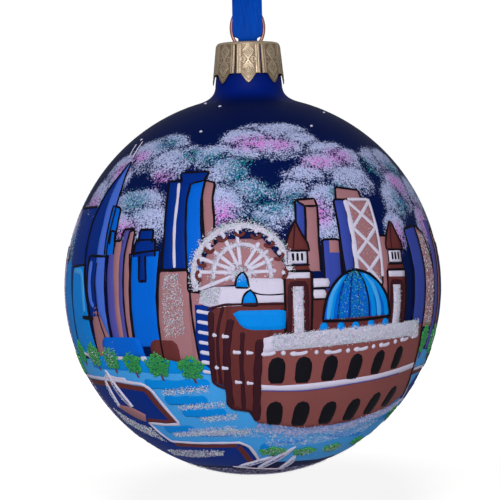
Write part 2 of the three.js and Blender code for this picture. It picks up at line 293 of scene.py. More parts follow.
INSIDE_GLASS = 0.04 * MM  # how far the underside of a film lies below the glass's surface
STEEPEST = 75  # degrees of latitude past which a stroke's eastward lengths aren't shortened further
RIM_SHARES = 40  # points compared along two edges to find a film's width


def degrees(text):
    """'lon,lat lon,lat ...' as an array of degrees."""
    return np.array([[float(number) for number in pair.split(",")] for pair in text.split()])


def outward(lon, lat):
    """The unit direction at a longitude and latitude."""
    lo, la = np.radians(lon), np.radians(lat)
    return np.stack([np.cos(la) * np.sin(lo), -np.cos(la) * np.cos(lo), np.sin(la)], -1)


def on_ball(lon, lat, lift=0.0):
    """A point above the glass by lift: the radius times the unit direction, the upper half stretched upwards
    by TOP_RISE, moved to the ball's centre."""
    direction = outward(lon, lat)
    height = np.where(direction[..., 2] > 0, RADIUS + TOP_RISE, RADIUS)
    scale = np.stack([np.full_like(height, RADIUS), np.full_like(height, RADIUS), height], -1)
    point = direction * (scale + np.asarray(lift, float)[..., None])
    point[..., 2] += CENTRE_Z
    return point


def compass(lon, lat):
    """The unit vectors towards east and north at a longitude and latitude."""
    lo, la = np.radians(lon), np.radians(lat)
    east = np.stack([np.cos(lo), np.sin(lo), np.zeros_like(lo)], -1)
    north = np.stack([-np.sin(la) * np.sin(lo), np.sin(la) * np.cos(lo), np.cos(la)], -1)
    return east, north


def squeezed(points):
    """How much shorter a degree of longitude is than one of latitude, at the points' mean latitude."""
    return np.cos(np.radians(np.clip(np.abs(points[:, 1].mean()), 0, STEEPEST)))


def round_trip(lon, lat, radius_lon, radius_lat, count, start=0.0, sweep=360.0):
    """An arc round a centre: longitude plus the cosine, latitude plus the sine of an angle."""
    angle = np.radians(start + np.linspace(0, sweep, count))
    return np.stack([lon + radius_lon * np.cos(angle), lat + radius_lat * np.sin(angle)], -1)


class Painting:
    """Pots of enamel for one part of the picture: every film and stroke goes into its pot, and dry() makes
    one piece of each pot."""

    def __init__(self, part, seed):
        """A part of the picture, whose random draws start from the seed."""
        self.part = part
        self.pots = {}
        self.random = np.random.default_rng(seed)

    def pot(self, paint):
        """The shell that holds everything painted with that paint."""
        return self.pots.setdefault(paint, Shell())

    def lift(self, layer):
        """How far a layer stands above the glass: one film, and a step for each layer below it."""
        return sizes().paint + sizes().layer * layer

    def film(self, paint, layer, a, b):
        """A film of enamel ruled between two edges: point(u, v) = (1 - u) a(v) + u b(v) in degrees, lifted
        above the glass, with a rounded rim 0.2 mm wide. The same grid just inside the glass closes it."""
        a, b = (degrees(edge) if isinstance(edge, str) else np.asarray(edge, float) for edge in (a, b))
        shares = np.linspace(0, 1, RIM_SHARES)
        squeeze = squeezed(a)
        gap = np.abs(along(a, shares) - along(b, shares)) * [squeeze, 1]
        width = np.hypot(*gap.T).max()
        length = max(np.hypot(*(np.diff(edge, axis=0) * [squeeze, 1]).T).sum() for edge in (a, b))
        u, rim_u = rim_steps(width)
        v, rim_v = rim_steps(length)
        wave = 0.09 * np.sin(v * length * 0.55 + self.random.uniform(0, 6.28))
        left, right = along(a, v), along(b, v)
        grid = left[:, None] * (1 - u[:, None]) + right[:, None] * u[:, None]
        grid[..., 0] += (wave / squeeze)[:, None] * (1 if len(v) > 4 else 0)
        lift = self.lift(layer) * np.minimum.outer(rim_v, rim_u)
        top = on_ball(grid[..., 0], grid[..., 1], lift)
        bottom = on_ball(grid[..., 0], grid[..., 1], np.full(grid.shape[:2], -INSIDE_GLASS))
        rings, faces = slab(top, bottom)
        self.pot(paint).add(rings, faces, tint=self.random.uniform())

    def stroke(self, paint, layer, points, width=None, height=0.1, curved=True):
        """A bead of paint: a flattened ellipse carried along a path on the ball, its width and height closing
        to a round end at both ends. Width and height are in millimetres."""
        points = degrees(points) if isinstance(points, str) else np.asarray(points, float)
        width = sizes().line if width is None else width * MM
        squeeze = squeezed(points)
        length = np.hypot(*(np.diff(points, axis=0) * [squeeze, 1]).T).sum()
        count = int(length / 1.1) + 6
        path = spline(points, count * 3) if curved and len(points) > 2 else points
        share = 0.5 - 0.5 * np.cos(np.linspace(0, np.pi, count))
        share = 0.6 * share + 0.4 * np.linspace(0, 1, count)
        path = along(path, share)
        lon, lat = path[:, 0], path[:, 1]
        centre, normal = on_ball(lon, lat, np.full(count, self.lift(layer))), outward(lon, lat)
        side = unit(np.cross(np.gradient(centre, axis=0), normal))
        reach = np.radians(length) * RADIUS
        end = np.clip(np.minimum(share, 1 - share) * reach / (width / 2), 0, 1)
        wide = np.sqrt(1 - (1 - end) ** 2) * 0.96 + 0.04
        wide = wide * (1 + 0.1 * np.sin(share * length * 0.9 + self.random.uniform(0, 6.28)))
        turn = full_turn(8)
        across = np.sign(np.cos(turn)) * np.abs(np.cos(turn)) ** 0.8
        rings = (
            centre[:, None]
            + side[:, None] * (wide[:, None] * across * width / 2)[..., None]
            + normal[:, None] * (wide[:, None] * np.sin(turn) * height * MM)[..., None]
        )
        tube(self.pot(paint), rings, self.random.uniform())

    def dabs(self, paint, layer, lon, lat, wide, tall, turn=0.0, height=0.1, sides=8, tint=None):
        """Dabs of paint: each is a low dome on an ellipse, wide and tall in millimetres, turned by an angle,
        its rim following the ball and its underside closed to one point in the glass."""
        lon, lat = np.atleast_1d(np.asarray(lon, float)), np.atleast_1d(np.asarray(lat, float))
        count = len(lon)
        wide, tall, turn, height = (
            np.broadcast_to(np.asarray(value, float), count) for value in (wide, tall, turn, height)
        )
        angle = full_turn(sides)
        normal = outward(lon, lat)
        east, north = compass(lon, lat)
        first = east * np.cos(turn)[:, None] + north * np.sin(turn)[:, None]
        second = north * np.cos(turn)[:, None] - east * np.sin(turn)[:, None]
        centre = on_ball(lon, lat, np.full(count, self.lift(layer)))
        levels = []
        for reach, rise in ((0.62, 0.8), (1.0, -0.6)):
            x = wide[:, None] / 2 * reach * np.cos(angle) * MM
            y = tall[:, None] / 2 * reach * np.sin(angle) * MM
            fall = rise * height[:, None] * MM - (x**2 + y**2) / (2 * RADIUS)
            levels.append(
                centre[:, None] + first[:, None] * x[..., None] + second[:, None] * y[..., None]
                + normal[:, None] * fall[..., None]
            )
        apex = centre + normal * height[:, None] * MM
        root = centre - normal * (self.lift(layer) + 0.15 * MM)
        points = np.concatenate([apex[:, None], *levels, root[:, None]], 1)
        each = points.shape[1]
        k = np.arange(sides)
        after = (k + 1) % sides
        quads = np.stack([1 + k, 1 + sides + k, 1 + sides + after, 1 + after], -1)
        tris = np.concatenate(
            [
                np.stack([np.zeros(sides, int), 1 + k, 1 + after], -1),
                np.stack([np.full(sides, each - 1), 1 + sides + after, 1 + sides + k], -1),
            ]
        )
        starts = (np.arange(count) * each)[:, None, None]
        tint = self.random.uniform(size=count) if tint is None else np.broadcast_to(tint, count)
        self.pot(paint).add(
            points, (quads + starts).reshape(-1, 4), (tris + starts).reshape(-1, 3), np.repeat(tint, each)
        )

    def flakes(self, paint, layer, lon, lat, size=0.26):
        """Glitter: thin four-cornered lenses about size millimetres across, each tilted at random."""
        count = len(lon)
        draw = self.random.uniform(-1, 1, (count, 4))
        normal = outward(lon, lat)
        east, north = compass(lon, lat)
        tilted = unit(normal + east * draw[:, :1] * 0.55 + north * draw[:, 1:2] * 0.55)
        first = unit(np.cross(tilted, north * 0.3 + east * draw[:, 2:3] + normal * 0.1 + 0.01))
        second = np.cross(tilted, first)
        half = size * MM / 2 * (1 + 0.45 * draw[:, 3])[:, None]
        centre = on_ball(lon, lat, self.lift(layer) + self.random.uniform(0, 0.12, count) * MM)
        points = np.stack(
            [
                centre + first * half,
                centre + second * half,
                centre - first * half,
                centre - second * half,
                centre + tilted * half * 0.3,
                centre - tilted * half * 0.3,
            ],
            1,
        )
        k = np.arange(4)
        after = (k + 1) % 4
        tris = np.concatenate(
            [np.stack([np.full(4, 4), k, after], -1), np.stack([np.full(4, 5), after, k], -1)]
        )
        starts = (np.arange(count) * 6)[:, None, None]
        tint = np.repeat(self.random.uniform(size=count), 6)
        self.pot(paint).add(points, tris=(tris + starts).reshape(-1, 3), tint=tint)

    def sprinkle(self, paint, layer, a, b, count, size=0.26):
        """Glitter spread evenly between two edges."""
        a, b = (degrees(edge) if isinstance(edge, str) else np.asarray(edge, float) for edge in (a, b))
        u, v = self.random.uniform(size=(2, count))
        spot = along(a, v) * (1 - u[:, None]) + along(b, v) * u[:, None]
        spot += self.random.normal(0, 0.25, spot.shape)
        self.flakes(paint, layer, spot[:, 0], spot[:, 1], size)

    def dry(self):
        """Makes one piece of each pot."""
        for paint, shell in self.pots.items():
            shell.make(f"{self.part}_{paint}", paint_material(paint), "lacquered_glass", "ball")


def rim_steps(size):
    """Shares across a film of that size in degrees, no more than 2 apart, with one more step 0.2 mm in from
    each edge, and how much of the film's thickness stands at each."""
    rim = min(0.25, 0.23 / size)
    inner = np.linspace(rim, 1 - rim, int(size / 2) + 2)
    return np.concatenate([[0], inner, [1]]), np.concatenate([[0.3], np.ones(len(inner)), [0.3]])


# ---- Node groups and materials ---------------------------------------------------------------------------


def node(tree, kind, inputs=None, **settings):
    """A new node with its settings made and its inputs set or linked."""
    made = tree.nodes.new(kind)
    for key, value in settings.items():
        setattr(made, key, value)
    for key, value in (inputs or {}).items():
        if isinstance(value, bpy.types.NodeSocket):
            tree.links.new(value, made.inputs[key])
        else:
            made.inputs[key].default_value = value
    return made


def mixed(tree, share, first, second, blend="MIX"):
    """The colour between two, by a share from 0 to 1."""
    return node(
        tree, "ShaderNodeMix", {0: share, 6: first, 7: second}, data_type="RGBA", blend_type=blend
    ).outputs[2]


def sums(tree, operation, first, second, clamp=False):
    """The result of one arithmetic operation on two values."""
    return node(
        tree, "ShaderNodeMath", {0: first, 1: second}, operation=operation, use_clamp=clamp
    ).outputs[0]


def ranged(tree, value, low, high, to_low=0.0, to_high=1.0):
    """The value carried from one range to another in proportion, and held at its ends."""
    inputs = {"Value": value, "From Min": low, "From Max": high, "To Min": to_low, "To Max": to_high}
    return node(tree, "ShaderNodeMapRange", inputs).outputs[0]


def marked(tree, name):
    """The value that a mesh carries at each point under that name."""
    return node(tree, "ShaderNodeAttribute", attribute_name=name).outputs["Fac"]


def own_place(tree):
    """Where a point is on its piece, in metres."""
    return node(tree, "ShaderNodeTexCoord").outputs["Object"]


def grey(tree, value):
    """A colour whose three channels are all the value."""
    return node(tree, "ShaderNodeCombineColor", {"Red": value, "Green": value, "Blue": value}).outputs[0]


def noise(tree, scale, detail=2.0, roughness=0.5, vector=None):
    """Cloudy noise from 0 to 1, whose scale is in lumps per metre, on the piece's own place unless told
    otherwise."""
    vector = own_place(tree) if vector is None else vector
    inputs = {"Vector": vector, "Scale": scale, "Detail": detail, "Roughness": roughness}
    return node(tree, "ShaderNodeTexNoise", inputs).outputs["Fac"]


def group(name, inputs, outputs):
    """A node group with named sockets, and its input and output nodes; None for its tree if it is there
    already."""
    found = bpy.data.node_groups.get(name)
    if found:
        return found, None, None
    tree = bpy.data.node_groups.new(name, "ShaderNodeTree")
    for label, kind, default in inputs:
        socket = tree.interface.new_socket(label, in_out="INPUT", socket_type=kind)
        if default is not None:
            socket.default_value = default
    for label, kind in outputs:
        tree.interface.new_socket(label, in_out="OUTPUT", socket_type=kind)
    return tree, node(tree, "NodeGroupInput"), node(tree, "NodeGroupOutput")


def placed(tree, shared, **inputs):
    """A node group placed in a tree, with its inputs set or linked; an underscore stands for a space."""
    made = node(tree, "ShaderNodeGroup", node_tree=shared)
    for key, value in inputs.items():
        label = key.replace("_", " ")
        if isinstance(value, bpy.types.NodeSocket):
            tree.links.new(value, made.inputs[label])
        else:
            made.inputs[label].default_value = value
    return made


def hand_laid():
    """Enamel laid by hand: bristle streaks and pooling change the colour, and the streaks stand up a
    little."""
    inputs = [
        ("Paint", "NodeSocketColor", (0.5, 0.5, 0.5, 1)),
        ("Unevenness", "NodeSocketFloat", 0.2),
        ("Shade", "NodeSocketFloat", 0.5),
    ]
    tree, start, end = group(
        "Hand-laid enamel", inputs, [("Colour", "NodeSocketColor"), ("Height", "NodeSocketFloat")]
    )
    if start:
        place = own_place(tree)
        stretched = node(tree, "ShaderNodeMapping", {"Vector": place, "Scale": (1, 1, 0.16)}).outputs[0]
        streaks = noise(tree, 1500, 3, vector=stretched)
        pools = noise(tree, 130, 2, vector=place)
        light = sums(tree, "ADD", sums(tree, "MULTIPLY", streaks, 0.5), sums(tree, "MULTIPLY", pools, 0.5))
        light = sums(
            tree, "ADD", light,
            sums(tree, "MULTIPLY", sums(tree, "SUBTRACT", start.outputs["Shade"], 0.5), 0.12)
        )
        light = sums(
            tree, "ADD",
            sums(tree, "MULTIPLY", sums(tree, "SUBTRACT", light, 0.5), start.outputs["Unevenness"]), 1.0
        )
        scaled = grey(tree, light)
        colour = mixed(tree, 1.0, start.outputs["Paint"], scaled, "MULTIPLY")
        tree.links.new(colour, end.inputs["Colour"])
        tree.links.new(streaks, end.inputs["Height"])
    return tree


def sponged():
    """Sponge stipple: fine noise cut at a level that falls as the amount of paint rises, ragged at the
    edge."""
    inputs = [
        ("Amount", "NodeSocketFloat", 1.0),
        ("Grain", "NodeSocketFloat", 2200.0),
        ("Cover", "NodeSocketFloat", 0.9),
    ]
    tree, start, end = group(
        "Sponge stipple", inputs, [("Mask", "NodeSocketFloat"), ("Speck", "NodeSocketFloat")]
    )
    if start:
        place = own_place(tree)
        fine = noise(tree, start.outputs["Grain"], 2, 0.65, place)
        ragged = noise(tree, 520, 3, 0.7, place)
        amount = sums(tree, "ADD", start.outputs["Amount"], ranged(tree, ragged, 0.3, 0.7, -0.2, 0.2))
        level = ranged(tree, sums(tree, "MULTIPLY", amount, start.outputs["Cover"]), 0.0, 1.0, 0.74, 0.36)
        mask = ranged(tree, sums(tree, "SUBTRACT", fine, level), -0.075, 0.085)
        mask = sums(tree, "MULTIPLY", mask, ranged(tree, start.outputs["Amount"], 0.0, 0.15))
        speck = noise(tree, 3100, 1, 0.5, place)
        tree.links.new(mask, end.inputs["Mask"])
        tree.links.new(speck, end.inputs["Speck"])
    return tree


def satin_weave():
    """Satin: fine streaks along the strip from its own UV map, broken up by slubs."""
    tree, start, end = group(
        "Satin weave",
        [("Dye", "NodeSocketColor", (0, 0, 0.5, 1))],
        [("Colour", "NodeSocketColor"), ("Height", "NodeSocketFloat"), ("Gloss", "NodeSocketFloat")],
    )
    if start:
        place = node(tree, "ShaderNodeUVMap", uv_map="strip").outputs[0]
        threads = node(tree, "ShaderNodeMapping", {"Vector": place, "Scale": (1, 0.05, 1)}).outputs[0]
        streaks = noise(tree, 9000, 2, vector=threads)
        folds_and_crease_shade = noise(tree, 1500, 2, vector=threads)
        cross = node(
            tree, "ShaderNodeTexWave", {
                "Vector": place, "Scale": 1500, "Distortion": 2.5, "Detail": 1
            }, bands_direction="Y"
        ).outputs["Fac"]
        both = sums(tree, "ADD", sums(tree, "MULTIPLY", streaks, 0.55), sums(tree, "MULTIPLY", folds_and_crease_shade, 0.45))
        # The dye is made lighter and darker along the streaks and folds: a painted sheen along the threads and
        # painted shade in the creases. The same pattern also drives the bump.
        light = ranged(tree, both, 0.3, 0.7, 0.6, 1.35)
        scaled = grey(tree, light)
        colour = mixed(tree, 1.0, start.outputs["Dye"], scaled, "MULTIPLY")
        tree.links.new(colour, end.inputs["Colour"])
        tree.links.new(sums(tree, "ADD", both, sums(tree, "MULTIPLY", cross, 0.25)), end.inputs["Height"])
        tree.links.new(ranged(tree, both, 0.3, 0.7, 0.5, 0.65), end.inputs["Gloss"])
    return tree


def surface(name):
    """A new material, its node tree and its Principled shader."""
    material = bpy.data.materials.new(name)
    material.use_nodes = True
    tree = material.node_tree
    shader = tree.nodes["Principled BSDF"]
    return material, tree, shader


def finish(tree, shader, colour=None, rough=None, metal=None, height=None, depth=0.02, **constants):
    """Links or sets a shader's inputs; depth is how far height 1 stands out, in millimetres."""
    linked = {"Base Color": colour, "Roughness": rough, "Metallic": metal}
    if height is not None:
        linked["Normal"] = node(
            tree, "ShaderNodeBump", {"Height": height, "Distance": depth * MM, "Strength": 1.0}
        ).outputs[0]
    for label, value in {**linked, **{k.replace("_", " "): v for k, v in constants.items()}}.items():
        if value is None:
            continue
        if isinstance(value, bpy.types.NodeSocket):
            tree.links.new(value, shader.inputs[label])
        else:
            shader.inputs[label].default_value = value


def paint_material(paint):
    """The enamel, foliage or glitter of a pot."""
    found = bpy.data.materials.get(f"enamel_{paint}")
    if found:
        return found
    if paint == "foliage":
        return foliage_material()
    if paint.startswith("glitter"):
        return glitter_material(paint)
    material, tree, shader = surface(f"enamel_{paint}")
    unevenness = {"outline": 0.1, "window": 0.15, "snow": 0.16, "brown": 0.3, "maroon": 0.3}.get(paint, 0.24)
    laid = placed(
        tree, hand_laid(), Paint=linear(PAINTS[paint][1]), Unevenness=unevenness, Shade=marked(tree, "tint")
    )
    colour, height = laid.outputs["Colour"], laid.outputs["Height"]
    finish(tree, shader, colour, 0.55, 0.0, height, 0.012, Specular_IOR_Level=0.05)
    return material


def foliage_material():
    """Dabs of green from dark to fresh, a few of them yellow, by each dab's tint."""
    material, tree, shader = surface("enamel_foliage")
    tint = marked(tree, "tint")
    dark = chosen("foliage")
    colour = mixed(tree, ranged(tree, tint, 0.3, 0.85), dark, linear((52, 158, 72)))
    colour = mixed(tree, ranged(tree, tint, 0.82, 0.95), colour, linear((150, 184, 60)))
    laid = placed(tree, hand_laid(), Paint=colour, Unevenness=0.5, Shade=0.5)
    finish(tree, shader, laid.outputs["Colour"], 0.5, 0.0, laid.outputs["Height"], 0.02)
    return material


def glitter_material(paint):
    """Flakes that are mostly silver or mostly teal, some pink, green or blue by their own tint."""
    material, tree, shader = surface(f"enamel_{paint}")
    stops = {
        "glitter_silver": [
            (0.0, (205, 205, 222)), (0.5, (236, 236, 244)), (0.72, (150, 165, 205)), (0.86, (150, 225, 205)),
            (0.94, (225, 170, 215))
        ],
        "glitter_teal": [
            (0.0, (0, 96, 150)), (0.3, (0, 150, 158)), (0.55, (40, 205, 190)), (0.75, (30, 80, 190)),
            (0.92, (170, 240, 220))
        ],
        "glitter_lilac": [
            (0.0, (150, 150, 205)), (0.4, (190, 188, 226)), (0.7, (220, 218, 240)), (0.9, (214, 160, 214))
        ],
    }[paint]
    ramp = node(tree, "ShaderNodeValToRGB", {"Fac": marked(tree, "tint")})
    ramp.color_ramp.interpolation = "CONSTANT"
    while len(ramp.color_ramp.elements) < len(stops):
        ramp.color_ramp.elements.new(0.5)
    for element, (place, rgb) in zip(ramp.color_ramp.elements, stops):
        element.position, element.color = place, linear(rgb)
    sheen = noise(tree, 900, 1)
    finish(tree, shader, ramp.outputs[0], ranged(tree, sheen, 0.3, 0.7, 0.22, 0.38), 0.15)
    return material


def lacquer_material():
    """Frosted lacquer, royal at the neck and darker again at the neck's top as painted shade under the cap, with
    clouds sponged on where the mesh's own fields say.
    """
    material, tree, shader = surface("frosted_lacquer")
    place = own_place(tree)
    # The neck mark brings in the royal neck lacquer. Where the mark falls off at the top of the neck, it lays in
    # painted shade under the cap.
    base = mixed(tree, marked(tree, "neck"), chosen("lacquer"), chosen("neck"))
    mist = noise(tree, 60, 2, vector=place)
    base = mixed(tree, ranged(tree, mist, 0.3, 0.7, 0.0, 0.25), base, linear((4, 30, 80)))
    stipple = placed(tree, sponged(), Amount=marked(tree, "cloud"), Grain=2300.0, Cover=1.0)
    speck = stipple.outputs["Speck"]
    cloud = mixed(tree, ranged(tree, speck, 0.35, 0.65), chosen("cloud"), linear((186, 192, 228)))
    blot = noise(tree, 1500, 2, vector=place)
    pink = sums(tree, "MULTIPLY", marked(tree, "pink"), ranged(tree, blot, 0.36, 0.5), True)
    cloud = mixed(tree, pink, cloud, chosen("cloud_pink"))
    grit = noise(tree, 2000, 1, vector=place)
    teal = sums(tree, "MULTIPLY", marked(tree, "teal"), ranged(tree, grit, 0.4, 0.52), True)
    cloud = mixed(tree, teal, cloud, chosen("cloud_teal"))
    colour = mixed(tree, stipple.outputs["Mask"], base, cloud)
    frost = noise(tree, 5200, 1, vector=place)
    height = sums(tree, "ADD", stipple.outputs["Mask"], sums(tree, "MULTIPLY", frost, 0.06))
    finish(tree, shader, colour, 0.55, 0.0, height, 0.05, Specular_IOR_Level=0.04)
    return material


def tin_material():
    """Pressed champagne-gold tin: darker in the low places of the stamped pattern and full gold on its ridges,
    fine drawing scratches.
    """
    material, tree, shader = surface("champagne_tin")
    relief = marked(tree, "relief")
    place = own_place(tree)
    mottle = noise(tree, 700, 3, vector=place)
    gold = chosen("cap")
    # The colour runs from a dark brown-gold in the low places of the stamped pattern to full gold on its ridges,
    # with a random mottle.
    low_to_ridge = ranged(tree, sums(tree, "ADD", relief, sums(tree, "MULTIPLY", mottle, 0.35)), 0.15, 0.95)
    colour = mixed(tree, low_to_ridge, linear((128, 110, 90)), gold)
    scratches = noise(
        tree, 2600, 2,
        vector=node(tree, "ShaderNodeMapping", {"Vector": place, "Scale": (1, 1, 0.12)}).outputs[0]
    )
    finish(tree, shader, colour, ranged(tree, mottle, 0.3, 0.7, 0.4, 0.55), 0.5, scratches, 0.008)
    return material


def wire_material():
    """Coppered spring wire: drawn lines along it and darker tarnish in patches."""
    material, tree, shader = surface("coppered_wire")
    tarnish = noise(tree, 420, 3)
    colour = mixed(tree, ranged(tree, tarnish, 0.35, 0.7), chosen("wire"), linear((138, 84, 72)))
    finish(
        tree, shader, colour, ranged(tree, tarnish, 0.3, 0.7, 0.42, 0.58), 0.7, noise(tree, 3600, 2), 0.006
    )
    return material


def satin_material():
    """Blue satin with a soft sheen along its threads."""
    found = bpy.data.materials.get("ribbon_satin")
    if found:
        return found
    material, tree, shader = surface("ribbon_satin")
    woven = placed(tree, satin_weave(), Dye=chosen("satin"))
    colour, gloss, height = (woven.outputs[name] for name in ("Colour", "Gloss", "Height"))
    cloth = {"Specular_IOR_Level": 0.03, "Sheen_Weight": 0.02, "Sheen_Roughness": 0.5, "Anisotropic": 0.3}
    finish(tree, shader, colour, gloss, 0.0, height, 0.03, **cloth)
    return material


# ---- Glass ball ------------------------------------------------------------------------------------------

TURNS = 320  # steps round the ball
BODY_ROWS, BODY_SKIP = 158, 6  # rows from the bottom to the shoulder, and how many of them the inside skips
NECK_RIM, NECK_ROOT = 7.8 * MM, 8.9 * MM
SHOULDER = 16.0 * MM
FILLET_HEIGHT, FILLET_PULL, FILLET_REACH = 3.0 * MM, 4.2 * MM, 3.2 * MM

# Sponged puffs of cloud: longitude, latitude, half-width and half-height in degrees of arc.
CLOUDS = [
    (-47, 42, 9, 8), (-38, 45, 9, 7), (-60, 36, 7, 8), (-32, 38, 8, 7), (-55, 32, 7, 7), (-66, 26, 6, 9),
    (-74, 15, 5, 12), (-40, 24, 12, 7), (-34, 18, 9, 7), (-46, 18, 7, 5), (-24, 41, 8, 5), (-14, 40, 9, 6),
    (-8, 33, 7, 8), (-10, 22, 8, 9), (-3, 47, 8, 6), (6, 50, 9, 6), (16, 50, 9, 6), (23, 45, 7, 6),
    (8, 43, 12, 5), (-3, 40, 6, 5), (0, 26, 8, 7), (8, 20, 8, 5), (34, 41, 9, 6), (42, 38, 7, 6),
    (28, 36, 9, 6), (38, 31, 9, 6), (18, 33, 8, 4), (13, 27, 7, 5), (25, 24, 7, 7), (24, 15, 6, 5),
    (57, 38, 8, 7), (66, 38, 7, 7), (62, 28, 9, 8), (54, 24, 6, 8), (74, 25, 6, 10), (50, 15, 6, 7),
    (82, 26, 6, 10), (70, 16, 6, 8),
]
PINK = [
    (-57, 37, 5, 4), (-67, 24, 5, 6), (-50, 42, 5, 3), (-33, 33, 5, 4), (-44, 17, 7, 4), (-52, 24, 3, 5),
    (-9, 20, 5, 6), (3, 46, 9, 4), (12, 45, 6, 3), (26, 38, 7, 3), (36, 40, 6, 4), (22, 21, 4, 5),
    (62, 31, 5, 7), (71, 18, 5, 8), (51, 13, 3, 6), (10, 12, 3, 3),
]
TEAL = [
    (-38, 47, 6, 4), (-42, 26, 8, 5), (-14, 40, 7, 4), (-24, 42, 5, 3), (-4, 34, 6, 7), (4, 26, 9, 6),
    (14, 25, 5, 5), (50, 35, 4, 6), (58, 24, 5, 6), (30, 27, 5, 4), (-74, 14, 4, 8), (0, 18, 7, 4),
    (66, 36, 5, 4), (3, 29, 7, 5), (7, 23, 6, 4), (-3, 38, 5, 3),
]
GAPS = [
    (-43, 32, 6, 3), (3, 37.5, 6, 2.4), (11, 36, 4, 2), (7, 31, 4, 2.4), (4, 25, 3, 1.6), (48, 35, 2.5, 6),
    (17, 22, 3, 1.8), (-53, 27, 2, 4), (12, 16, 3, 3),
]


def behind(seed, count, lows, highs):
    """Puffs for the back of the ball, drawn at random between two limits."""
    return np.random.default_rng(seed).uniform(lows, highs, (count, 4))


def about(lon, lat, blot):
    """Where a point is about a blot, in half-widths across it and half-heights up it."""
    centre_lon, centre_lat, wide, tall = blot
    x = ((lon - centre_lon + 180) % 360 - 180) * np.cos(np.radians(lat)) / wide
    return x, (lat - centre_lat) / tall


def puffs(lon, lat, blots, softness=0.35):
    """How far a point is inside the nearest blot: 1 within it, falling to 0 over its soft edge, where a blot
    is an ellipse in degrees of arc about its centre."""
    field = np.zeros(lon.shape)
    for blot in blots:
        x, y = about(lon, lat, blot)
        field = np.maximum(field, np.clip((1.12 - np.hypot(x, y)) / softness, 0, 1))
    return field


def heaped(lon, lat, blots):
    """How much cloud paint lies at a point: puffs are laid from the highest down, each one thick along its
    top and thin at its foot, so that every puff stands out against the foot of the one above it."""
    amount = np.zeros(lon.shape)
    for blot in sorted(map(tuple, blots), key=lambda blot: -blot[1]):
        x, y = about(lon, lat, blot)
        inside = np.clip((1.16 - np.hypot(x, y)) / 0.4, 0, 1)
        paint = 0.58 + 0.42 * np.clip(0.55 + 0.8 * y - 0.2 * np.abs(x), 0, 1)
        amount = amount + (paint * inside - amount) * np.clip(inside * 1.3, 0, 1) * (inside > 0)
    return amount


def ball_profile():
    """The shell's section as radius and height: half a circle up to the equator, a slightly taller ellipse up
    to the shoulder, a cubic fillet, the straight neck up to the rim, and back down inside, moved in by the wall."""
    shoulder = np.degrees(np.arccos(SHOULDER / RADIUS))
    lat = np.linspace(-90, shoulder, BODY_ROWS)
    tall = np.where(lat > 0, RADIUS + TOP_RISE, RADIUS)
    body = np.stack([RADIUS * np.cos(np.radians(lat)), tall * np.sin(np.radians(lat))], -1)
    steep = np.radians(shoulder)
    slope = unit(np.array([-RADIUS * np.sin(steep), (RADIUS + TOP_RISE) * np.cos(steep)]))
    root = np.array([NECK_ROOT, RADIUS + TOP_RISE + FILLET_HEIGHT])
    hold = [body[-1], body[-1] + slope * FILLET_REACH, root - [0, FILLET_PULL], root]
    t = np.linspace(0, 1, 15)[1:, None]
    fillet = (
        (1 - t) ** 3 * hold[0] + 3 * (1 - t) ** 2 * t * hold[1]
        + 3 * (1 - t) * t**2 * hold[2] + t**3 * hold[3]
    )
    rim_z = BALL_HIGH[2] - CENTRE_Z
    neck = np.stack([np.linspace(NECK_ROOT, NECK_RIM, 9)[1:], np.linspace(root[1], rim_z, 9)[1:]], -1)
    outside = np.concatenate([body, fillet, neck])
    kept = np.concatenate([np.arange(0, BODY_ROWS, BODY_SKIP), np.arange(BODY_ROWS - 1, len(outside))])
    coarse = outside[np.unique(kept)]
    run = unit(np.gradient(coarse, axis=0))
    wall = sizes().wall
    inside = coarse + np.stack([-run[:, 1], run[:, 0]], -1) * wall
    inside[0] = [0, -RADIUS + wall]
    inside[-1, 1] = rim_z
    return outside, inside[::-1]


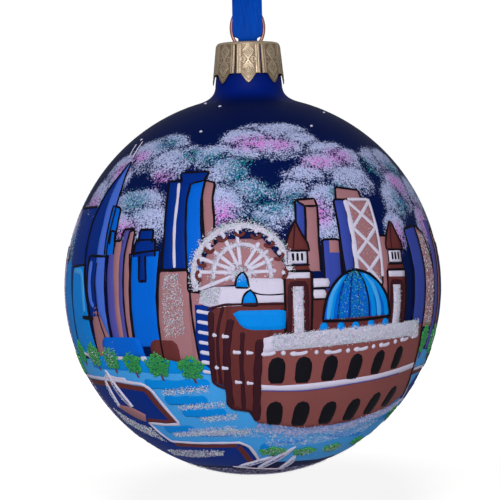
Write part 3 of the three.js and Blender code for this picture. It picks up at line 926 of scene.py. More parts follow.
def build_ball():
    """The glass: its section turned about the axis, one closed shell inside and out. Each point also carries
    how much cloud, pink, teal and royal neck lacquer lies on it. The neck lacquer fades back towards the dark
    lacquer at the top of the neck, which is painted shade under the cap's leaves."""
    outside, inside = ball_profile()
    section = np.concatenate([outside[1:], inside[:-1]])
    radius, height = section.T
    rows = len(section)
    poles = np.array([[0, 0, outside[0, 1] + CENTRE_Z], [0, 0, inside[-1, 1] + CENTRE_Z]])
    shell = Shell()
    tube(shell, turned(radius, height + CENTRE_Z, TURNS), ends=poles)
    lon = np.tile(np.degrees(full_turn(TURNS)), rows)
    rise = np.where(height > 0, RADIUS + TOP_RISE, RADIUS)
    lat = np.repeat(np.degrees(np.arcsin(np.clip(height / rise, -1, 1))), TURNS)
    outer = np.repeat(np.arange(rows) < len(outside) - 1, TURNS)
    back = behind(11, 62, [88, 12, 6, 5], [274, 42, 12, 9])
    pink = behind(12, 24, [92, 14, 4, 3], [270, 40, 8, 5])
    teal = behind(13, 20, [92, 14, 4, 3], [270, 42, 8, 5])
    gaps = behind(14, 9, [100, 16, 3, 2.5], [262, 38, 6, 4])
    cloud = heaped(lon, lat, [*CLOUDS, *back]) * (1 - 0.8 * puffs(lon, lat, [*GAPS, *gaps], 0.7)) * outer
    # Royal neck lacquer shows from the fillet up. Above 4.5 mm it fades back towards the dark lacquer, which is
    # painted shade under the cap's leaves.
    neck = np.interp(height - RADIUS, np.array([-2, 1.5, 4.5, 8]) * MM, [0, 0.9, 0.9, 0.2])
    marks = {
        "cloud": cloud,
        "pink": puffs(lon, lat, [*PINK, *pink], 1.0) ** 0.8,
        "teal": puffs(lon, lat, [*TEAL, *teal], 0.9),
        "neck": np.repeat(neck, TURNS) * outer,
    }
    marks = {name: np.concatenate([values, values[-2:]]) for name, values in marks.items()}
    ball = shell.make("glass_shell", lacquer_material(), "lacquered_glass", "ball", marks=marks)
    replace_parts(ball, "glass_ball")
    sky = Painting("sky", 21)
    stars = "-24,68 -48,72 -24,52 -62,50 60,63 33,54 105,60 128,52 150,64 176,55 205,62 228,50 250,60"
    spots = degrees(stars)
    sky.dabs("snow", 1, spots[:, 0], spots[:, 1], 1.05, 0.8, 0.4, 0.2)
    for blots, paint, share, size in ((CLOUDS, "glitter_silver", 24, 0.2), (TEAL, "glitter_teal", 150, 0.25)):
        everywhere = np.array([*blots, *(back if paint == "glitter_silver" else teal)])
        pick = np.repeat(everywhere, share, 0)
        spot = sky.random.normal(0, 0.45, (len(pick), 2)) * pick[:, 2:]
        lat = pick[:, 1] + spot[:, 1]
        lon = pick[:, 0] + spot[:, 0] / np.cos(np.radians(lat))
        keep = puffs(lon, lat, [*CLOUDS, *back]) > 0.5
        sky.flakes(paint, 0, lon[keep], lat[keep], size)
    sky.dry()


# ---- The painted city ------------------------------------------------------------------------------------


def block(city, paint, layer, left, right, outlined=True):
    """A tower's face: a film between its left and right edges, each given from the ground up, outlined up one
    side, over the top and down the other."""
    left, right = degrees(left), degrees(right)
    city.film(paint, layer, left, right)
    if outlined:
        city.stroke("outline", layer, np.concatenate([left, right[::-1]]), curved=False)


def build_towers():
    """The skyline: towers given as paint, layer, left edge and right edge, then the lines over them."""
    city = Painting("towers", 31)
    faces = """
        bright 0 -86,-20 -85,0 -80,8 | -70,-20 -69,0 -70,10
        navy 1 -70,-14 -72,0 -74,14 -76,25 | -58,-14 -60,0 -62,14 -61,25
        bright 2 -73,-20 -71,-8 -70,7 | -58,-20 -59,-6 -60,7.4
        navy 3 -58,-8 -60,2 -61,12 -61,20 -59,29 -56,35 -54,40 | -52,-8 -53,3 -53,12 -54,20 -55,27 -55,33 -54,40
        rose 3 -58,-20 -57,-9 -55,-5 | -50,-20 -49,-8 -49,-4
        blade 4 -53,-6 -54,3 -54,12 -54,20 -55,27 -55,33 -54,40 | -49,-15 -49,-3 -49,7 -49,14 -49,22 -50,30 -53,40
        royal 5 -50,10 -50.4,17 -51,25 | -45.8,10 -46,17 -46.6,24
        purple 4 -48,-16 -48,0 -48,12 | -45,-16 -45,0 -45.5,12
        rose 4 -45,-16 -45,0 -46,14 | -43,-16 -43,0 -43,14
        purple 5 -43,-16 -43,0 -43,10 -42.4,17 | -41,-16 -41,0 -41,10 -40,17
        rose 5 -41,-16 -41,0 -41,10 -40,17 | -38.6,-16 -38.2,0 -38.2,10 -38,17
        royal 5 -39,-17 -38.6,-3 -38.4,5 -39,10 | -29,-17 -29,-3 -28.4,5 -28,11
        navy 6 -37.4,9 -37,14 | -29.6,9 -30,14
        navy 7 -36,13 -36,17 | -31,13 -31,17
        navy 7 -35,2.4 -36,10 | -32.4,2.4 -33,10
        navy 3 -24,29 -24.4,32.4 -25.6,35 | -16.4,29 -16,32.4 -14.6,35
        navy 5 -27,5 -27,15 -28,26 -29,32 | -23,5 -24,15 -24,26 -25,32
        navy 6 -23,5 -24,15 -24,26 -25,32 | -19,5 -20,15 -21,26 -20.8,31.4
        royal 7 -19,4 -20,15 -21,26 -20.6,31 | -14,4 -15,15 -16,25 -15.6,32
        rose 8 -14,12 -15,20 -16,27 -15.6,32 | -11,12 -11.4,20 -12.4,26 -12,31
        rose 8 -29,-21 -29,-10 -28,5 | -17,-21 -18,-8 -18.6,5
        rose 9 -19,-22 -19,-8 -19,-1 | -14,-23 -15,-8 -15,-1
        peri 3 12,5 13,13 14,25 | 15,5 16,13 17,23
        rose 4 17,23 14,25 | 21,23 20.6,25.4
        rose 5 16,4 16,13 17,23 | 20,4 20,13 21,23
        peri 6 21,-2 21,13 | 26.6,-2 26.6,13
        rose 7 23,9 23,13 | 26.4,9 26.4,13
        peri 7 28,1 27,10 27,25 | 31,1 31,12 31,25
        rose 6 28,25 29,29 | 38,25 38,28
        rose 8 31,1 31,12 31,25 | 41,0 41,12 41,25
        rose 3 41,-4 41,14 | 45,-4 45,14
        peri 4 56,-13 56,4 54,16 | 63,-13 63,4 61,17
        rose 5 63,-13 63,4 61,17 | 71,-13 71,3 66,15
        purple 3 72,-20 72,10 71,19 | 76,-20 76,10 75,19
        rose 4 76,-20 76,10 75,16 | 79,-20 79,10 78,16
        peri 3 79,-20.5 80,12 | 84,-20.5 84,12
        rose 4 84,-20.5 84,8 | 89,-20.5 89,8
    """
    bare = (
        "blade", "purple", "rose 4 -45", "rose 3 -58", "rose 9", "navy 6 -23", "bright 0", "navy 7 -35",
        "rose 7 23", "navy 3 -58", "navy 1", "rose 4 -41"
    )
    for line in faces.split("\n"):
        line = line.strip()
        if line:
            head, right = line.split("|")
            paint, layer, left = head.strip().split(" ", 2)
            block(city, paint, int(layer), left, right, not line.startswith(bare))
    for line, layer in (
        ("-76,25 -61.4,25", 5),
        (
            "-58,-8 -60,2 -61,12 -61,20 -59,29 -56,35 -54,40 -53,40 -50,30 -49,22 -49,14 -49,7 -49,-3 -48.6,-15",
            6
        ),
        ("-49,9.6 -58,10 -58.6,3 -58,-8.4", 7), ("-45.6,12 -45.7,14 -43.2,14 -42.6,17.4 -38,17.4", 6),
        ("-48.2,13 -48.4,17 -46.6,17 -46,13.6", 6),
        ("-35,9.6 -35,2.2 -32.4,2.2 -33,9.6", 8), ("-28.4,5.2 -18.8,5.2 -18.8,-1 -14.6,-1.4", 9),
    ):
        city.stroke("outline", layer, line, curved=False)
    city.stroke("outline", 7, "-63,-8 -56,-8.4", 1.0)
    city.stroke("outline", 6, "-53.4,8 -54,0 -53,-8 -51,-16", 0.4)
    city.stroke("blade", 7, "-56.4,8.6 -57,2 -56.4,-3 -55,-5", 1.5, 0.06)
    city.stroke("water", 3, "-69,5.8 -63,5.2 -61.6,1 -61.4,-6.6", 1.5, 0.07)
    city.stroke("snow", 9, "-23,5.6 -23.8,17 -24.2,26 -25,31.4", 0.8)
    city.stroke("snow", 3, "-58,42 -62,48", 0.5)
    city.stroke("snow", 3, "-55,42 -58,49", 0.5)
    city.film("royal", 10, "-54,-20 -54,-16 -53,-14.4 -52,-14", "-36,-20 -36.4,-16 -37,-14.6 -38,-14")
    city.film(
        "maroon", 10, [(-33, -20), (-33.2, -17), (-32.6, -15.6), (-31, -14.8)],
        [(-23, -22), (-23, -17.6), (-23.6, -16), (-25, -15)]
    )
    block(city, "navy", 10, "-17.6,-21 -17.4,-12 -17,-4.6", "-11.6,-26 -11.6,-12 -11.8,-5", False)
    for step in range(7):
        lat = -6.6 - 3.0 * step
        city.stroke("snow", 11, [(-16.6, lat), (-12.2, lat - 0.8)], 1.0, 0.14)
    city.stroke("snow", 9, "31.6,2 31.5,12 31.5,25", 1.5)
    city.stroke("snow", 9, "32,25 40.8,25 41,14 41,2", 0.85, curved=False)
    for low, high in ((24.4, 16.4), (16.4, 8.4), (8.4, 0.2)):
        city.stroke("snow", 9, [(32, low), (40.6, high)], 0.95)
        city.stroke("snow", 9, [(40.6, low), (32, high)], 0.95)
    city.sprinkle("glitter_silver", 9, "31,1 31,25", "41,1 41,25", 330, 0.22)
    city.sprinkle("glitter_silver", 9, "-27,-14 -27,-3 -26,4", "-20.6,-13 -20.6,-2 -22,4", 1150)
    city.sprinkle("glitter_silver", 6, "63.5,-12 63.5,4 61.6,15", "70,-12 70,3 66,14", 800)
    city.sprinkle("glitter_lilac", 3, "-87,-22 -87,0 -80,15 -78,26", "-82,-24 -81,0 -77,14 -75,22", 1500)
    build_far_side(city)
    city.dry()


def build_far_side(city):
    """Towers round the back: each a dark side and a light face with an outline, some with window bars, their
    widths, heights and paints drawn at random."""
    draw = city.random
    lon = 90.0
    pairs = [("navy", "royal"), ("peri", "rose"), ("navy", "bright"), ("purple", "rose"), ("navy", "blade")]
    while lon < 274:
        wide = draw.uniform(5, 8.5)
        side = wide * draw.uniform(0.3, 0.5)
        top = draw.uniform(6, 33)
        dark, light = pairs[draw.integers(len(pairs))]
        layer = int(draw.integers(1, 5))
        split, end = lon + side, lon + wide
        city.film(dark, layer, [(lon, -22), (lon, top - 1.5)], [(split, -22), (split, top)])
        city.film(light, layer, [(split, -22), (split, top)], [(end, -22), (end, top - 0.6)])
        line = [(lon, -22), (lon, top - 1.5), (split, top), (end, top - 0.6), (end, -22)]
        city.stroke("outline", layer, line, curved=False)
        city.stroke("outline", layer, [(split, top), (split, -22)], 0.4)
        if draw.uniform() < 0.45:
            for lat in np.arange(-17, top - 3, 4.0):
                city.stroke("snow", layer + 1, [(split + 0.8, lat), (end - 0.8, lat + 0.2)], 0.6)
        elif draw.uniform() < 0.5:
            city.sprinkle(
                "glitter_silver", layer + 1, [(split + 0.8, -16), (split + 0.8, top - 3)],
                [(end - 0.8, -16), (end - 0.8, top - 3)], 320
            )
        lon = end + draw.uniform(-0.8, 1.2)


def build_wheel():
    """The big wheel: rose behind lilac spokes, two glittered rings, a hub and hanging cabins, over snowy
    roofs."""
    wheel = Painting("wheel", 41)
    lon, lat, reach = -3.2, 4.0, 13.8
    wheel.film("rose", 10, "-15.4,0 -15,5 -12.6,10.6 -9,13.6", "9.4,1.4 9.4,6 5.6,10.6 3,13.6")
    for turn in (2, 22, 38, 58, 96, 116, 142, 160, 178, 200):
        a = np.radians(turn)
        far = 13.2 if turn > 90 else 10
        wheel.stroke(
            "snow", 11,
            [(lon + 2 * np.cos(a), lat + 2 * np.sin(a)), (lon + far * np.cos(a), lat + far * np.sin(a))], 0.95
        )
    wheel.stroke("snow", 12, round_trip(lon + 0.2, 3.4, 8.2, 8.6, 34, -8, 196), 1.0)
    wheel.stroke("snow", 12, round_trip(lon, lat, reach, reach - 0.4, 50, -2, 204), 1.5, 0.1)
    spot = wheel.random.normal(0, 1.0, (2, 170))
    wheel.dabs("snow", 12, lon + spot[0] * 1.9, lat - 0.8 + spot[1] * 1.2, 0.6, 0.5, 0, 0.12, 6)
    for turn, spin in (
        (-2, 1.3), (24, 0.5), (46, 0.2), (68, 0.0), (92, 0.0), (118, 0.0), (142, -0.2), (163, -0.6),
        (183, -1.3)
    ):
        a = np.radians(turn)
        x, y = lon + (reach - 2.1) * np.cos(a), lat + (reach - 2.1) * np.sin(a)
        cup = round_trip(0, 0, 1.35, 1.3, 9, 180, 180)
        cup = cup @ np.array([[np.cos(spin), np.sin(spin)], [-np.sin(spin), np.cos(spin)]])
        wheel.stroke("maroon", 15, cup + [x, y], 0.9, 0.16)
        wheel.dabs(
            "snow", 13, x + 0.4 * np.cos(a), y + 0.5 * np.sin(a) + 0.5 * np.cos(spin), 1.3, 1.5, 0, 0.16
        )
    for centre_lat, size, spread, count in ((lat, reach, 0.8, 2800), (3.4, 8.4, 0.55, 800)):
        a = np.radians(wheel.random.uniform(-8, 200, count))
        r = size + wheel.random.normal(0, spread, count)
        wheel.flakes("glitter_silver", 13, lon + r * np.cos(a), centre_lat + r * np.sin(a), 0.24)
        r = size + wheel.random.normal(0, spread, count // 6)
        a = a[: count // 6]
        wheel.dabs("snow", 11, lon + r * np.cos(a), centre_lat + r * np.sin(a), 0.5, 0.4, 0, 0.14, 6)
    spread = wheel.random.normal(0, 2.0, (2, 420))
    wheel.flakes("glitter_silver", 13, lon + spread[0], lat + spread[1] * 0.7)
    wheel.film("snow", 14, "-16,-4.4 -13,-5.6 -10,-6 -6,-5.6 9.2,-5", "-15,-1 -12,0.2 -5,0.2 -1,2.6 9.2,2.2")
    wheel.stroke("outline", 15, "-1,-1 1.6,-2.1 5,-2.4 9,-2.2", 0.35)
    wheel.sprinkle("glitter_silver", 15, "-15.6,-4 -10,-4.6", "-14.6,-0.6 -9,0", 620)
    for apex, foot, end in (
        ((-3.0, 4.2), (-5.0, -0.1), (-1.2, -0.3)), ((-1.0, -0.9), (-3.2, -5.2), (1.2, -5.4))
    ):
        bulge = 0.35
        left = spline(
            [foot, ((foot[0] * 0.62 + apex[0] * 0.38) - bulge, foot[1] * 0.4 + apex[1] * 0.6), apex], 8
        )
        right = spline(
            [
                end, ((end[0] * 0.62 + apex[0] * 0.38) + bulge, end[1] * 0.4 + apex[1] * 0.6),
                (apex[0] + 0.3, apex[1])
            ],
            8
        )
        wheel.film("bright", 16, left, right)
        wheel.stroke("outline", 16, np.concatenate([left, right[::-1], left[:1]]), 0.5)
    wheel.dry()


def arch(middle, low, high, half, lean=0.0):
    """The two edges of a round-headed window: a rounded foot, straight sides and half an ellipse for its
    head."""
    rise = np.linspace(0, np.pi / 2, 7)
    y = np.concatenate([low + 0.5 - 0.5 * np.sin(rise[::-2]), high - half * 1.2 + half * 1.2 * np.sin(rise)])
    foot = half * (0.62 + 0.34 * (1 - np.sin(rise[::-2]) ** 3))
    x = np.concatenate([foot, half * np.cos(rise) ** 0.8 + 0.05])
    shift = lean * (y - low)
    return np.stack([middle - x + shift, y], -1), np.stack([middle + x + shift, y], -1)


def turret(hall, middle, half, low, lean):
    """A square turret from the ground up: shaft with its glittered panel, cornice, plate, lantern and
    roof."""

    def at(*spots):
        """Points given as a share of the half width across, a latitude and, for some, a share of the lean."""
        return [(middle + half * across + lean * sum(share), lat) for across, lat, *share in spots]

    roof = at((-0.86, 9.8), (-0.9, 11.6), (-0.55, 14.8), (0, 18.4, 1))
    other = at((1.02, 9.8, 0.4), (0.95, 11.8, 0.6), (0.5, 14.8, 1)) + [(middle + lean + 0.3, 18.4)]
    hall.film("maroon", 12, roof, other)
    hall.stroke("outline", 12, roof + other[::-1] + roof[:1], 0.55, curved=False)
    hall.stroke("dark", 13, at((0, 17.4, 1), (-0.15, 14), (-0.3, 10.2)), 0.4)
    hall.film("snow", 13, at((-0.72, 6.2), (-0.72, 9.8)), at((0.76, 6.2), (0.76, 9.8)))
    hall.stroke("outline", 13, at((-0.8, 6.0), (-0.8, 9.9), (0.84, 9.9), (0.84, 6.0)), 0.35, curved=False)
    for bar in (-0.34, 0.02, 0.38):
        hall.stroke("outline", 14, at((bar, 6.9), (bar, 9.2)), 0.62)
    hall.film("maroon", 13, at((-1.02, 3.8), (-0.85, 5.8)), at((1.05, 3.8), (0.9, 5.8)))
    hall.stroke("outline", 14, at((-0.95, 5.7), (1.0, 5.8)), 0.45)
    hall.film("maroon", 13, at((-1, low), (-1.05, 4.0)), at((1.1, low, 0.3), (1.06, 4.0)))
    hall.stroke("outline", 14, at((-1, low), (-1.1, 4.1), (1.1, 4.1), (1.1, low, 0.3)), curved=False)
    hall.film("snow", 15, at((-0.98, 1.9), (-1.02, 3.9)), at((1.0, 1.9), (1.02, 3.9)))
    hall.stroke("dark", 14, at((-0.72, low), (-0.66, 0.6), (0.62, 0.6), (0.72, low)), 1.2, curved=False)
    hall.film("snow", 15, at((-0.34, low), (-0.5, 0)), at((0.52, low), (0.42, 0)))
    hall.sprinkle("glitter_silver", 16, at((-0.3, low), (-0.45, -0.6)), at((0.45, low), (0.4, -0.6)), 330)


def build_hall():
    """The domed market hall: a stepped side wing with pilasters, two turrets, the dome on its drum, a snowy
    cornice and a long two-storey arcade."""
    hall = Painting("hall", 51)
    hall.film("maroon", 15, "-14,-28 -13,-18 -12.4,-6.4 -11,-5.8", "-8,-30.4 -8,-18 -7,-8 -7,-5.2")
    hall.film("maroon", 16, "-9,-37 -8.8,-20 -8,-5.2", "1.6,-40.4 2,-20 9.4,-5.2")
    hall.film("maroon", 12, "2,-16 6,-5.2", "22,-16 22,-1")
    hall.stroke(
        "dark", 16, "-14,-27.6 -12.6,-29 -9.4,-30.4 -9.2,-36.6 -8,-37.6 -2,-38.4 0.4,-42.6", 0.75,
        curved=False
    )
    hall.stroke("dark", 16, "-13.4,-6.6 -12.4,-5.8 -8,-4.9 9,-4.9", 0.6, curved=False)
    for line, wide in (
        ("-12.2,-6.6 -12.8,-18 -13.2,-28", 1.5), ("-8.6,-5.4 -10.4,-12 -11,-20 -11,-29", 0.8),
        ("-6.4,-9 -8,-16 -8.6,-25 -8.8,-36.6", 1.9),
        ("-3.2,-12.8 -4,-22 -4,-30 -4.2,-37.8", 1.1), ("1.8,-15 1,-24 0.6,-33 0.4,-42.4", 2.0),
    ):
        hall.stroke("dark", 17, line, wide)
    for left, right, lat in (
        (-12.2, -10.8, -13.6), (-9.4, -7.2, -14), (-6.4, -3.9, -18.8), (-2.4, -0.2, -19),
        (-12.4, -11.0, -23.4), (-10.2, -8.0, -23.6), (-6.4, -4.0, -28.2), (-2.6, -0.4, -28.6),
    ):
        hall.stroke("snow", 18, [(left, lat), (right, lat - 0.1)], 0.85, 0.14)
        hall.dabs("snow", 18, left + 0.4, lat, 0.9, 1.3, 0, 0.18)
    hall.film(
        "bright", 17, [(-4.2, -10.4), (-3, -11.8), (-0.6, -12.6), (8.6, -12.6), (9.4, -12)],
        [(-6, -7.6), (-5.4, -6.8), (-4, -6.5), (8.8, -6.5), (9.4, -7)]
    )

    turret(hall, 13.0, 3.7, -15, -0.1)
    turret(hall, 46.8, 3.7, -14, 0.6)
    for low, high, right in ((-0.6, 2.0, 22.6), (-3.8, -1.2, 21.6)):
        hall.film(
            "snow", 14, [(17.6, low), (17.2, (low + high) / 2), (17.6, high)],
            [(right - 0.5, low), (right, (low + high) / 2), (right - 0.5, high)]
        )
        hall.stroke("outline", 14, [(17.2, low - 0.2), (right, low)], 0.4)

    hall.film("maroon", 13, "19,-15 19,-10.4 20,-9.6", "46,-13.5 45.5,-9.6 44,-8.8")
    left = np.array([(20.4, -10), (20.8, -6.4), (21.8, -2.8), (24, 0.6), (26.8, 2.9), (30, 4.2)])
    right = np.array([(44, -9), (43.2, -5.6), (41.6, -2.4), (38.8, 0.8), (35, 3.2), (30.6, 4.3)])
    hall.film("royal", 15, left, right)
    for share, wide, paint in (
        (0.2, 0.5, "navy"), (0.36, 0.6, "navy"), (0.5, 0.35, "navy"), (0.66, 0.5, "outline")
    ):
        hall.stroke(paint, 16, left * (1 - share) + right * share, wide, 0.06)
    for share, paint, wide in (
        (0.07, "water", 1.2), (0.82, "water", 1.4), (0.94, "streak", 1.5), (0.12, "streak", 1.0),
        (0.73, "streak", 1.6)
    ):
        line = left * (1 - share) + right * share
        hall.stroke(paint, 16, line[:5], wide, 0.05)
    hall.stroke("outline", 17, np.concatenate([left, right[::-1]]), 0.75)
    hall.stroke("outline", 17, "20,-10.2 32,-10.2 44.6,-9.2", 0.7)
    for share in (0.26, 0.43, 0.56):
        hall.sprinkle(
            "glitter_teal", 16, left * (1.06 - share) + right * (share - 0.06),
            left * (0.93 - share) + right * (share + 0.07), 420, 0.22
        )
    hall.dabs(
        "bright", 15, [21, 26.4, 31.4, 37, 42.6], [-12.2, -12.2, -12.0, -11.6, -11.2], 2.4, 3.0, 0, 0.12, 14
    )

    hall.film(
        "brown", 13, "0.4,-43.4 10,-45 20,-46.4 32,-45.6 42,-44.4 52,-42.4 61,-40 70,-35",
        "1,-15 20,-14 37,-13 50,-12.5 56,-12.2 59,-12 60,-12 62,-12"
    )
    hall.stroke("outline", 15, "62,-12 63.4,-18 65,-26 68,-31 70.4,-35.4", 0.6)
    hall.film(
        "snow", 18, [(2, -19.6), (7, -18.8), (20, -18), (37, -16.8), (60.5, -15.2)],
        [(2.8, -14.6), (7, -13.8), (20, -12.8), (37, -11.8), (59, -10.8)]
    )
    hall.sprinkle(
        "glitter_silver", 18, "5.4,-18.2 20,-17.8 37,-16.6 60,-15", "5.4,-13.8 20,-12.6 37,-11.6 59,-10.8",
        4200, 0.25
    )
    drips = (
        (4.2, -19.5, 4.4), (8.8, -19.4, 1.6), (13.6, -19.6, 5.4), (19.2, -19.4, 1.4), (24.6, -19.4, 5.6),
        (29.8, -19.2, 1.5), (34.4, -18.8, 5.0), (39.2, -18.2, 1.4), (43.6, -17.8, 4.2), (48.4, -17.0, 1.5),
        (52.8, -16.4, 3.8), (58.4, -15.6, 3.4),
    )
    for lon, lat, wide in drips:
        half = wide * 0.52
        if wide < 2:
            hall.dabs("snow", 17, lon, lat, wide * 0.85, wide * 0.9, 0, 0.22, 12)
        else:
            hall.stroke(
                "snow", 17, [(lon - half, lat), (lon + half * 0.1, lat - 0.1), (lon + half, lat + 0.5)], 0.9,
                0.14
            )
            hall.dabs("snow", 17, lon - half * 0.55, lat - 0.1, wide * 0.42, 1.35, 0, 0.2, 12)
    hall.film(
        "snow", 15, "1.2,-31.4 8,-31.9 16,-31.8 32,-30.4 44,-29.2 54,-27.8 66,-25.6",
        "1.2,-29.1 8,-29.6 16,-29.3 32,-28.1 44,-27 54,-25.4 65,-23.6"
    )
    hall.stroke("purple", 16, "2,-31.2 12,-31.6 20,-31.4 34,-29.9 44,-28.8 56,-27.1", 0.3, 0.04)
    for middle, low, high, half, lean in (
        (7.0, -29, -20.6, 2.9, 0.0), (15.6, -29, -20.6, 2.9, -0.02), (24.2, -28.6, -20.4, 2.7, 0.04),
        (33.4, -28.4, -20.2, 2.6, 0.04), (42.6, -27, -19.4, 2.4, 0.06), (51.4, -25.6, -18.4, 2.2, 0.06),
    ):
        hall.film("window", 15, *arch(middle, low, high, half, lean))
    for middle, low, high, half, lean in (
        (7.2, -44.2, -35.2, 3.3, 0.0), (17.4, -45, -35.4, 3.4, -0.02), (28.6, -44.6, -35.8, 3.3, 0.0),
        (39.4, -43.6, -35.2, 3.1, 0.0), (49.0, -41.6, -33.4, 2.8, 0.0), (57.8, -39, -31.6, 2.6, 0.0),
    ):
        hall.film("window", 15, *arch(middle, low, high, half, lean))
    hall.sprinkle(
        "glitter_lilac", 14, "-1,-47 20,-49 40,-47.6 66,-41", "1,-43.6 20,-46 40,-44.6 70,-37", 3200, 0.22
    )
    hall.sprinkle(
        "glitter_silver", 14, "-20,-49 0,-49.6 20,-50 40,-48.6 66,-42",
        "-20,-46.6 1,-45 20,-47 40,-45.6 70,-38", 1500, 0.22
    )
    hall.dry()


def tree(harbour, lon, lat, wide, tall, snowy=False):
    """A sponged tree: dabs scattered about its middle, denser and darker inside, on a leaning trunk."""
    count = int(44 * wide * tall / 10)
    angle = harbour.random.uniform(0, 2 * np.pi, count)
    reach = harbour.random.uniform(0, 1, count) ** 0.6 * (1 + 0.12 * np.sin(5 * angle))
    squeeze = np.cos(np.radians(lat))
    x, y = reach * np.cos(angle) * wide / 2 / squeeze, reach * np.sin(angle) * tall / 2
    harbour.stroke("maroon", 6, [(lon, lat - tall * 0.2), (lon + 0.7 / squeeze, lat - tall * 0.72)], 0.55)
    size = harbour.random.uniform(0.5, 0.95, (2, count))
    tint = np.clip(0.16 + 0.32 * reach + 0.12 * y / tall * 2 + harbour.random.normal(0, 0.13, count), 0, 1)
    order = np.argsort(tint)
    harbour.dabs(
        "foliage", 7, (lon + x)[order], (lat + y)[order], size[0], size[1],
        harbour.random.uniform(0, 3, count), 0.16 + 0.1 * tint[order], 6, tint[order]
    )
    if snowy:
        spot = harbour.random.normal(0, 0.26, (2, 110))
        harbour.flakes("glitter_silver", 10, lon + spot[0] * wide / squeeze, lat + 0.3 + spot[1] * tall, 0.24)


def sail(harbour, foot, head, full, bow=0.3):
    """A leaf-shaped sail from its foot to its head with a white rim round a glittered middle."""
    foot, head = np.array(foot, float), np.array(head, float)
    squeeze = np.array([np.cos(np.radians((foot[1] + head[1]) / 2)), 1])
    run = (head - foot) * squeeze
    side = np.array([run[1], -run[0]]) / np.hypot(*run)
    t = np.linspace(0, 1, 11)[:, None]
    middle = foot + (head - foot) * t + side / squeeze * bow * np.sin(np.pi * t) * 2
    wide = full * np.sin(np.pi * (0.06 + 0.94 * t) ** 0.7) ** 0.7
    edges = [middle + side / squeeze * wide * sign / 2 for sign in (-1, 1)]
    harbour.film("snow", 8, *edges)
    harbour.stroke("peri", 8, middle[1:-3], 0.26 * full, 0.03)
    harbour.sprinkle(
        "glitter_silver", 9, *(middle + side / squeeze * wide * sign / 4 for sign in (-1, 1)), int(70 * full),
        0.22
    )


def boat(harbour, lon, lat, size, lean=1.0):
    """A sailing boat: a maroon hull with a white sheer line under two leaf-shaped sails."""
    s = size / np.cos(np.radians(lat))
    hull_low = [(lon - 5 * s, lat - 1.2), (lon, lat - 2.6), (lon + 5 * s, lat - 1.8)]
    hull_high = [(lon - 6.5 * s, lat + 1.2), (lon, lat + 0.4), (lon + 6 * s, lat + 0.2)]
    harbour.film("maroon", 7, hull_low, hull_high)
    harbour.stroke("snow", 8, hull_high, 0.5)
    sail(harbour, (lon - 2.5 * s, lat + 1.2), (lon - 4.5 * s * lean, lat + 12 * size), 2.4 * size)
    sail(harbour, (lon + 2.5 * s, lat + 0.9), (lon + 0.5 * s * lean, lat + 11 * size), 2.2 * size)


